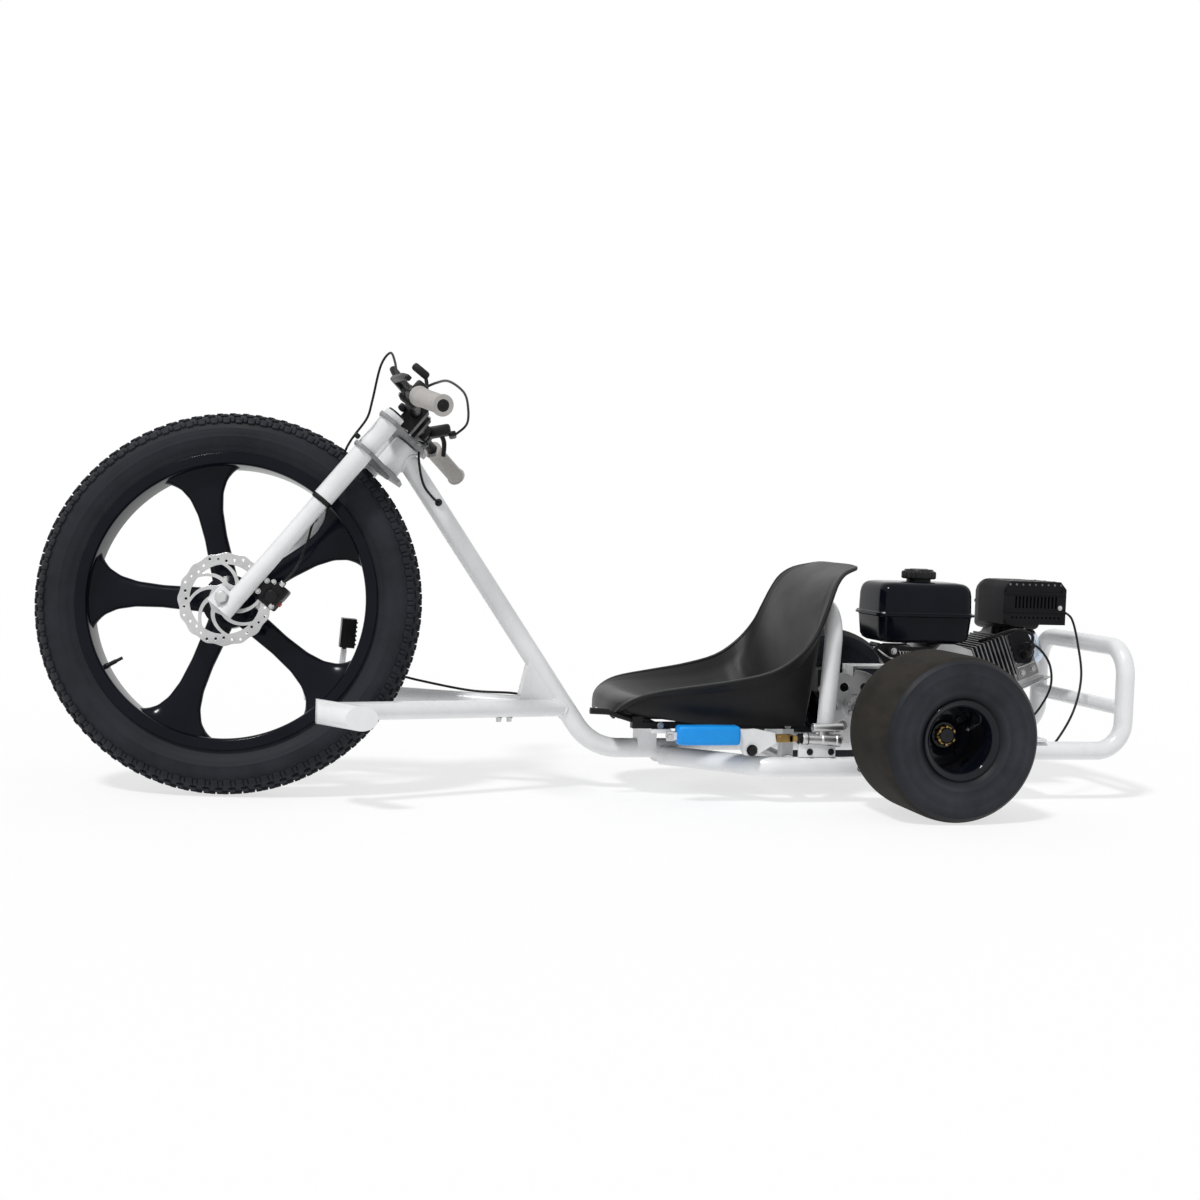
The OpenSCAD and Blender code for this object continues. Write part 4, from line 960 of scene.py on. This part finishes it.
# %% Hand-brake grip and cylinder
def box_ring(half_a, half_b, corner, steps=6):
    """A rounded rectangle as points in a plane."""
    pts = [(half_a, -half_b), (half_a, half_b), (-half_a, half_b), (-half_a, -half_b)]
    return rounded(pts, corner, steps)


def stacked(rows, middle=(0, 0), steps=8, order=(0, 1, 2)):
    """A loft of rounded rectangles: half length, half width, corner radius and height of each row."""
    rings = []
    for half_a, half_b, corner, height in rows:
        ring = box_ring(half_a, half_b, corner, steps) + middle
        rings.append(np.c_[ring, np.full(len(ring), height)][:, list(order)])
    return loft(rings)


# Places along the grip, and how much each section swells or shrinks
grip_swell = [(364, -5), (366, -1.6), (370, 0), (430, 0.4), (486, 0), (490, -1.6), (492, -5)]
grip_rows = [(17 + grow, 19 + grow, 9, x) for x, grow in grip_swell]
piece("brake_grip_sleeve", stacked(grip_rows, (184, 137), 6, (2, 0, 1)), blue_vinyl, "frame", TRIKE,
      ["brake_grip"], 50)

rod_from, rod_to = np.array((286.0, 184, 132)), np.array((146.0, 184, 126))
rod_dir = (rod_to - rod_from) / np.linalg.norm(rod_to - rod_from)
clevis = joined(block((34, 4, 15), 1.5, (270, 177, 131)), block((34, 4, 15), 1.5, (270, 191, 131)),
                block((10, 18, 15), 2, (257, 184, 131)),
                facing(spun([(0.5, 0), (6, 0), (6, 22), (0.5, 22)], 1, 20), (278, 173, 131)),
                facing(spun([(0.5, 0), (6.5, 0), (6.5, 16), (0.5, 16)], 1, 6), (254, 184, 130.6),
                       rod_dir))
boot_folds = [(8.5 + (2.6 if k % 2 else 0), 2 + 2.6 * k) for k in range(8)]
boot_line = [(5, 0)] + boot_folds + [(12, 23), (5, 23)]
boot = facing(lathe(boot_line, 32), (243, 184, 130.2), rod_dir)
pump_line = rounded([(0.5, 0), (12, 0), (12, 10), (10.6, 12), (10.6, 40), (12, 43), (12, 70), (13.4, 72),
                     (13.4, 80), (8, 86), (0.5, 86)], 1.2)
pump = facing(lathe(pump_line, 36), (232, 184, 129.7), rod_dir)
feed = facing(spun([(0.5, 0), (9, 0), (9, 64), (0.5, 64)], 1.5, 28), (210, 184, 152), (-1, 0, 0))
saddle_block = block((20, 12, 16), 2, (186, 184, 142))
plate = block((78, 8, 42), 1.5, (199, 184, 114))
plate_bolts = [facing(bolt(9, 5), (x, 188, 104)) for x in (215, 170)]
pivot = facing(bolt(15, 8), (338, 192, 108))
hitch = joined(block((22, 6, 20), 2, (502, 184, 135)), block((9, 22, 9), 2, (507, 184, 135)))
piece("brake_pump", joined(tagged(clevis, 1), tagged(boot, 2), pump, feed, saddle_block, tagged(plate, 3),
                           *[tagged(b, 2) for b in plate_bolts], tagged(pivot, 2), hitch),
      [bright_steel, dull_brass, black_plastic, white_coat], "frame", TRIKE, ["master_cylinder"])
print("hand brake made")

# %% [markdown]
# ## Engine
# A small utility engine with a level shaft: a pressed steel tank with a seam flange, a guarded exhaust
# box, a leaning finned cylinder, a bright rocker cover and a pull starter. The pressed and moulded covers
# are lofts of rounded rectangles, which roll at every corner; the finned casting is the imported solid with
# its edges softened.

# %% Fuel tank and cap
tank_at = (-97.0, -30.0)
# Rows of the tank: half length, half width, corner radius and height
tank_rows = [(84, 52, 26, 312), (92, 60, 28, 313.5), (99, 67, 28, 318), (103, 70, 28, 326),
             (106, 73, 26, 367.5), (108, 75, 27, 369.5), (112, 79, 30, 370.2), (112, 79, 30, 374.8),
             (108, 75, 27, 375.5), (106, 73, 26, 377.5), (105, 72, 26, 414), (103.5, 70.5, 26, 424),
             (101, 68, 26, 431), (97, 64, 26, 436), (92, 59, 26, 439), (80, 48, 24, 441)]
seam_bolts = [(x, y) for x in (-198, 4) for y in (-98, 38)]
tank_screws = [shifted(bolt(7, 3), x, y, 374.6) for x, y in seam_bolts]
piece("fuel_tank_pressed", joined(stacked(tank_rows, tank_at, 10), *[tagged(b, 1) for b in tank_screws]),
      [gloss_black, bright_steel], "frame", TRIKE, ["fuel_tank"], 28)
cap_at = (-103.0, -30.0, 441.0)
lobes = np.arange(144) * 2 * math.pi / 144
# Rows of the cap: radius, depth of its lobes and height
cap_rows = [(26, 0, 0), (26, 0, 6), (34, 0.4, 6.2), (36, 1, 8.5), (36, 1, 20), (34.4, 0.6, 22.6),
            (31.5, 0, 23.4), (30, 0, 26.6), (24, 0, 27)]
cap_rings = []
for r, wave, z in cap_rows:
    ripple = r + wave * np.cos(24 * lobes)
    cap_rings.append(np.c_[ripple * np.cos(lobes), ripple * np.sin(lobes), np.full(144, z)])
cap_bar = block((40, 9, 4), 1.5, (0, 0, 26))
piece("fuel_cap_knurled", shifted(joined(loft(cap_rings), cap_bar), *cap_at), black_plastic, "frame",
      TRIKE, ["fuel_cap"], 30)
print("tank and cap made")

# %% Cylinder head, rocker cover and plug
lean = math.radians(22)
CYLINDER = TRIKE @ axes((-165, -30, 228), (-math.cos(lean), 0, math.sin(lean)), (0, 1, 0),
                        (-math.sin(lean), 0, -math.cos(lean)))
cover_rows = [(46, 50, 14, 196), (46, 50, 14, 200.5), (44, 48, 14, 201.5), (41, 45, 16, 202.5),
              (40, 44, 16, 206), (39, 43, 17, 216), (37.5, 41.5, 18, 223), (34, 38, 18, 229),
              (30, 34, 18, 232)]
cover_bolts = [facing(bolt(9, 5), (200.5, y, z), (1, 0, 0)) for y in (-43, 43) for z in (-39, 39)]
piece("rocker_cover", joined(stacked(cover_rows, order=(2, 1, 0)), *cover_bolts), blued_chrome, "frame",
      CYLINDER, ["valve_cover"], 32)
head_bolts = [facing(bolt(11, 6), (x, 62, z)) for x in (158, 184) for z in (-38, 38)]
side_ribs = [block((44, 4, 5), 1.2, (171, 63.5, z), 1) for z in (-24, -12, 12, 24)]
spigot_line = rounded([(0.5, 0), (15, 0), (15, 5), (9, 8), (9, 22), (0.5, 22)], 1.5)
spigot = facing(lathe(spigot_line, 28), (171, 62, 0))
bracket = upright(slab(rounded([(150, -52), (192, -52), (198, -30), (198, 4), (180, 24), (150, 12)], 5),
                       65, 68.5, 1))
head_parts = joined(*head_bolts, *side_ribs, tagged(spigot, 1), tagged(bracket, 1))
piece("head_hardware", head_parts, [cast_alloy, heat_black], "frame", CYLINDER)
lip_line = rounded([(58, 36), (150, 36), (206, 30), (206, 64), (58, 64)], 4)
shroud = joined(upright(slab(lip_line, 57, 59, 0.6)), block((152, 26, 2.4), 1, (134, 70, 65)))
piece("cooling_shroud", shroud, bright_steel, "frame", CYLINDER)
plug_boot = facing(spun([(0.5, 0), (9, 0), (9, 12), (7, 14), (7, 30), (4, 34), (0.5, 34)], 1.5, 24),
                   (171, 84, 0), (0.35, 0.6, -0.7))
lead = tube(line_through([(181, 100, -22), (186, 104, -44), (160, 92, -64), (120, 66, -62),
                          (96, 40, -58)], 8), 3.4, 12)
piece("plug_lead", joined(plug_boot, lead), cable_black, "frame", CYLINDER)
print("cylinder dressed at", round(math.degrees(lean)), "degrees")

# %% Exhaust guard details, air cleaner and pull starter
rivet = lathe([(0.01, 0), (2.6, 0), (2.2, 1.1), (0.01, 1.5)], 14, False)
rivets = [facing(rivet, (-404 + 15 * k, 40, 443)) for k in range(9)]
guard_screws = [facing(bolt(7, 3), (x, 40, z)) for x, z in ((-410, 428), (-278, 428), (-278, 364))]
bright_screw = facing(bolt(7, 3), (-404, 40, 394))
top_rivets = [shifted(rivet, -396 + 26 * k, y, 450) for k in range(5) for y in (-60, -18, 24)]
piece("guard_rivets", joined(*rivets, *top_rivets, tagged(bright_screw, 1)), [dark_alloy, bright_steel],
      "frame")
rail = [block((146, 3.4, 5), 1.4, (-344, 41, z)) for z in (386, 424)]
gasket = block((40, 44, 8), 2, (-290, -25, 352))
piece("guard_trim", joined(*rail, gasket, *guard_screws), heat_black, "frame")

box_rows = [(50, 42, 18, 336), (54, 46, 18, 337.5), (58, 50, 20, 341), (60, 52, 20, 346),
            (60, 52, 20, 392), (61.5, 53.5, 20, 393), (61.5, 53.5, 20, 399), (60, 52, 20, 400),
            (60, 52, 20, 420), (58, 50.5, 21, 430), (54, 47, 22, 438), (48, 40, 20, 445),
            (40, 30, 20, 448)]
elbow = tube(line_through([(-338, -125, 352), (-318, -112, 330), (-296, -99, 308)], 6), 17, 24)
piece("air_cleaner_box", joined(stacked(box_rows, (-376, -145)), elbow), black_plastic, "frame", TRIKE,
      ["air_cleaner"], 30)

starter_line = rounded([(0.5, 0), (90, 0), (90, 18), (84, 22), (77, 23), (75, 44), (68, 48), (52, 49),
                        (49, 57), (0.5, 58)], 3)
louvres = [turned(block((18, 5, 4), 1.6, (62, 0, 48.4)), 20 * k) for k in range(18)]
guard_ears = [turned(shifted(bolt(10, 6), 82, 0, 21), 30 + 60 * k) for k in range(6)]
pull = joined(block((16, 34, 14), 5, (84, 0, 34)), tube([(74, 0, 34), (84, 0, 34)], 2.5, 10))
starter = joined(lathe(starter_line, 72), *louvres, pull, *[tagged(b, 1) for b in guard_ears])
STARTER = TRIKE @ axes((-165, -105, 228), (1, 0, 0), (0, 0, 1), (0, -1, 0))
piece("pull_starter", starter, [black_plastic, bright_steel], "frame", STARTER, ["recoil_starter"], 30)
print("guard, air cleaner and starter made")

# %% Crankcase and linkage hardware
side_bolts = [facing(bolt(10, 6), (-165 + 52 * math.cos(a), 59, 228 + 52 * math.sin(a)))
              for a in np.radians(np.arange(8) * 45 + 20)]
filler = facing(spun([(0.5, 0), (12, 0), (12, 6), (9, 8), (9, 16), (0.5, 16)], 1, 12), (-226, 45, 168),
                (-0.3, 1, 0.3))
drain = facing(bolt(14, 8), (-120, 45, 142))
coil = block((34, 18, 30), 4, (-110, 52, 280))
piece("crankcase_bolts", joined(*side_bolts, drain, tagged(filler, 1), tagged(coil, 2)),
      [bright_steel, dull_brass, black_plastic], "frame")
turns = np.linspace(0, 9 * 2 * math.pi, 180)
coils = np.c_[np.linspace(-92, -30, 180), 36 + 4 * np.cos(turns), 292 + 4 * np.sin(turns)]
spring = tube(coils, 0.9, 6)
link_rod = tube(line_through([(-96, 34, 276), (-60, 40, 272), (-14, 38, 282), (10, 30, 298)], 6), 1.8, 8)
knobs_line = [((-20, 44, 296), 9), ((-58, 40, 284), 7), ((2, 21, 300), 6)]
knobs_made = [facing(bolt(w, 5), at) for at, w in knobs_line]
carb = joined(block((60, 46, 44), 8, (-44, -4, 286)), block((30, 34, 26), 6, (-50, 4, 256)))
piece("throttle_hardware", joined(spring, link_rod, *knobs_made, tagged(carb, 1)),
      [bright_steel, cast_alloy], "frame")
print("linkage hardware made")

# %% [markdown]
# ## Drive
# A roller chain runs from the clutch's pinion to the axle's sprocket. Each link is a pair of waisted
# plates on pins with rollers between. Links could be copied by an array along a curve, but a loop that
# steps along the belt line by one pitch gives each link its own place and needs no modifier.

# %% Chain
chain_y, chain_pitch, big_r, small_r = 105.0, 12.7, 81.0, 22.0
big_at, small_at = np.array((0.0, 160.0)), np.array((-165.0, 228.0))
span = small_at - big_at
facing_angle = math.atan2(span[1], span[0])
wrap = math.acos((big_r - small_r) / np.linalg.norm(span))
arc_big = [big_at + big_r * np.array((math.cos(a), math.sin(a)))
           for a in np.linspace(facing_angle + wrap, facing_angle + 2 * math.pi - wrap, 60)]
arc_small = [small_at + small_r * np.array((math.cos(a), math.sin(a)))
             for a in np.linspace(facing_angle - wrap, facing_angle + wrap, 30)]
belt = np.array(arc_big + arc_small + arc_big[:1])
run = np.concatenate([[0], np.cumsum(np.linalg.norm(np.diff(belt, axis=0), axis=1))])
links = 2 * round(run[-1] / chain_pitch / 2)
pins = np.c_[np.interp(np.arange(links) * run[-1] / links, run, belt[:, 0]),
             np.interp(np.arange(links) * run[-1] / links, run, belt[:, 1])]
roller = lathe([(0.3, -6.2), (1.8, -6.2), (1.8, -2.8), (3.6, -2.8), (3.6, 2.8), (1.8, 2.8), (1.8, 6.2),
                (0.3, 6.2)], 12)
chain_parts = []
for k in range(links):
    a, b = pins[k], pins[(k + 1) % links]
    along = (b - a) / np.linalg.norm(b - a)
    across = np.array((-along[1], along[0]))
    half = np.linalg.norm(b - a) / 2
    side = [(-half - 3.6, 0), (-half - 2.5, 3.4), (-half, 4.4), (0, 3.0), (half, 4.4), (half + 2.5, 3.4),
            (half + 3.6, 0), (half + 2.5, -3.4), (half, -4.4), (0, -3.0), (-half, -4.4),
            (-half - 2.5, -3.4)]
    flat = slab([(a + b) / 2 + along * u + across * w for u, w in side], -0.7, 0.7)
    for y in ((3.6, -3.6) if k % 2 else (5.2, -5.2)):
        chain_parts.append((np.c_[flat[0][:, 0], chain_y + y + flat[0][:, 2], flat[0][:, 1]], flat[1],
                            flat[2]))
    chain_parts.append(facing(roller, (a[0], chain_y, a[1])))
piece("roller_chain", joined(*chain_parts), cast_alloy, "frame", TRIKE, ["drive_chain"])
drum_bolts = [facing(bolt(8, 4), (-165 + 30 * math.cos(a), 96, 228 + 30 * math.sin(a)))
              for a in np.radians(np.arange(6) * 60)]
rear_bits = [facing(bolt(10, 6), (x, -97, z)) for x, z in ((56, 234), (84, 200))]
piece("drive_bolts", joined(*drum_bolts, *rear_bits), bright_steel, "frame")
print("chain links", links)

# %% [markdown]
# ## Rear wheels
# Low slick kart tyres on deep black rims, held by a castle nut on each end of the live axle. The tyre is
# a spun profile with a worn brown crown and smoother grey-blue flanks, so its faces carry two finishes. A
# bump map could fake the flank ribs, but they catch the light, so they are in the profile.

# %% Finishes of the rear tyres
def radius_rings(mat, rings):
    """Darken a finish in rings by distance from the rear axle: pairs of radius in metres and lightness."""
    tree = mat.node_tree
    shader = tree.nodes["Principled BSDF"]
    where = node(tree, "TexCoord")
    from_axle = node(tree, "VectorMath")
    from_axle.operation = "SUBTRACT"
    from_axle.inputs[1].default_value = tuple(axle_at / 1000)
    flat = node(tree, "VectorMath")
    flat.operation = "MULTIPLY"
    flat.inputs[1].default_value = (1, 0, 1)
    radius = node(tree, "VectorMath")
    radius.operation = "LENGTH"
    tree.links.new(where.outputs["Object"], from_axle.inputs[0])
    tree.links.new(from_axle.outputs[0], flat.inputs[0])
    tree.links.new(flat.outputs[0], radius.inputs[0])
    span = node(tree, "MapRange", From_Min=rings[0][0], From_Max=rings[-1][0])
    tree.links.new(radius.outputs["Value"], span.inputs["Value"])
    shade = node(tree, "ValToRGB")
    while len(shade.color_ramp.elements) < len(rings):
        shade.color_ramp.elements.new(0.5)
    for element, (r, grey) in zip(shade.color_ramp.elements, rings):
        element.position = (r - rings[0][0]) / (rings[-1][0] - rings[0][0])
        element.color = (grey, grey, grey, 1)
    tree.links.new(span.outputs[0], shade.inputs[0])
    both = node(tree, "Mix")
    both.data_type = "RGBA"
    both.blend_type = "MULTIPLY"
    both.inputs["Factor"].default_value = 1
    tree.links.new(shader.inputs["Base Color"].links[0].from_socket, both.inputs["A"])
    tree.links.new(shade.outputs[0], both.inputs["B"])
    tree.links.new(both.outputs["Result"], shader.inputs["Base Color"])


slick_tread = finish("slick_tread", (0.014, 0.0125, 0.011), (0.034, 0.030, 0.026), (0.74, 0.94), 420, 1.0,
                     specular=0.12, stretch=(2.6, 1.4, 2.6))
slick_side = finish("slick_side", (0.008, 0.009, 0.012), (0.030, 0.034, 0.044), (0.40, 0.60), 900, 0.25,
                    specular=0.2)
# The flanks are darker near the bead and at the shoulder, with lighter rings between.
radius_rings(slick_side, [(0.062, 0.25), (0.084, 0.45), (0.094, 1.0), (0.098, 0.7), (0.112, 1.0),
                        (0.126, 0.8), (0.131, 1.0), (0.146, 0.65), (0.153, 0.45)])
print("rear tyre finishes", slick_tread.name, slick_side.name)

# %% Rear tyres
half_out, tyre_w, tyre_r, bead_r = 431.0, 197.0, 160.0, 64.5
half_in = half_out - tyre_w
outer_half = [(90, 423.5 - half_in), (104, 427 - half_in), (121, 430.3 - half_in), (136, tyre_w),
              (146, tyre_w - 2.4), (152, tyre_w - 7), (157, tyre_w - 16), (159.4, tyre_w - 30),
              (tyre_r, tyre_w - 52)]
section = np.array([(79, 181)] + outer_half, float)
other_flank = np.c_[section[::-1, 0], tyre_w - section[::-1, 1]]
tyre_line = line_through(np.concatenate([section, other_flank]), 6)
flank_ribs = 0.9 * sum(np.exp(-((tyre_line[:, 0] - r) / 1.2) ** 2) for r in (96, 128, 147))
outward = np.where(tyre_line[:, 1] > tyre_w / 2, 1, -1)
tyre_line[:, 1] = np.clip(tyre_line[:, 1] + outward * flank_ribs, 0.02, tyre_w - 0.02)
tyre_line[:, 0] = np.minimum(tyre_line[:, 0], tyre_r)
tyre_line = np.concatenate([[(bead_r, 178.8)], tyre_line, [(bead_r, tyre_w - 178.8)]])
one_tyre = lathe(tyre_line, 128)
corner_r = np.hypot(one_tyre[0][:, 0], one_tyre[0][:, 1])
tread_tag = [1 if min(corner_r[list(f)]) > 153.5 else 0 for f in one_tyre[1]]
one_tyre = shifted((one_tyre[0], one_tyre[1], tread_tag), z=half_in)
flip = np.diag((1.0, 1.0, -1.0, 1.0))
piece("rear_slicks", joined(one_tyre, moved(one_tyre, flip)), [slick_side, slick_tread], "rear_axle",
      AXLE, ["rear_tyres"], 40)
print("rear tyres", tyre_w, "mm wide")

# %% Rear rims, castle nuts and valves
lip_z, lip_r, disc_z, hub_z, axle_end = half_out - 12, 77.0, half_out - 105, half_out - 161, half_out - 79
barrel = rounded([(60, half_in + 12), (lip_r, half_in + 12), (lip_r, half_in + 16), (64, half_in + 18),
                  (64, lip_z - 7), (lip_r, lip_z - 3), (lip_r, lip_z - 1), (75.6, lip_z),
                  (73.8, lip_z - 0.6), (66, lip_z - 5), (62.4, lip_z - 13), (60.5, lip_z - 34)], 2)
dish = rounded([(15.2, hub_z), (28, hub_z), (28, disc_z - 3), (61.5, disc_z), (61.5, disc_z + 8),
                (40, disc_z + 8), (28, disc_z + 11), (26, hub_z + 72), (15.2, hub_z + 72)], 2.5)
lugs = [shifted(bolt(14, 8), *polar(43, 90 * k + 45), disc_z + 7.5) for k in range(4)]
nut_line = [(15.2, hub_z + 72), (21, hub_z + 72), (21, axle_end - 5), (19, axle_end - 3),
            (15.2, axle_end - 3)]
nut_body = lathe(rounded(nut_line, 0.8), 6)
castle = [turned(block((5, 6.5, 9), 1.2, (17.4, 0, axle_end - 2)), 60 * k + 30) for k in range(6)]
pin = tube([(-20, 0, axle_end - 1), (20, 0, axle_end - 1)], 1.6, 8)
tip = spun([(0.5, axle_end - 1), (15.6, axle_end - 1), (15, axle_end + 2), (13, axle_end + 3),
                     (0.5, axle_end + 3)], 0.8, 24)
stem_line = rounded([(0.5, 0), (4.6, 0), (3.6, 7), (3.4, 24), (0.5, 24)], 0.8)
air_valve = facing(lathe(stem_line, 16), (-57, -20, disc_z + 26), (0.85, 0.3, 0.45))
rim_set = joined(lathe(barrel, 96), lathe(dish, 96), *lugs, tagged(nut_body, 1),
                 *[tagged(c, 1) for c in castle], pin, tip, tagged(air_valve, 2))
piece("rear_rims_dished", joined(rim_set, moved(rim_set, flip)), [rim_black, dull_brass, bright_steel],
      "rear_axle", AXLE, ["rear_rims"], 38)
spacers = [spun([(15.2, z), (22, z), (22, z + 12), (15.2, z + 12)], 1, 32)
           for z in (195, 150, -162, -207)]
sprocket_bolts = [shifted(bolt(9, 5), *polar(20.5, 60 * k + 30), chain_y + 22) for k in range(6)]
disc_bolts = [shifted(bolt(9, 5), *polar(20.5, 60 * k + 30), -86) for k in range(6)]
piece("axle_hardware", joined(*spacers, *sprocket_bolts, *disc_bolts), bright_steel, "rear_axle", AXLE)
print("rims at", lip_z, "mm")
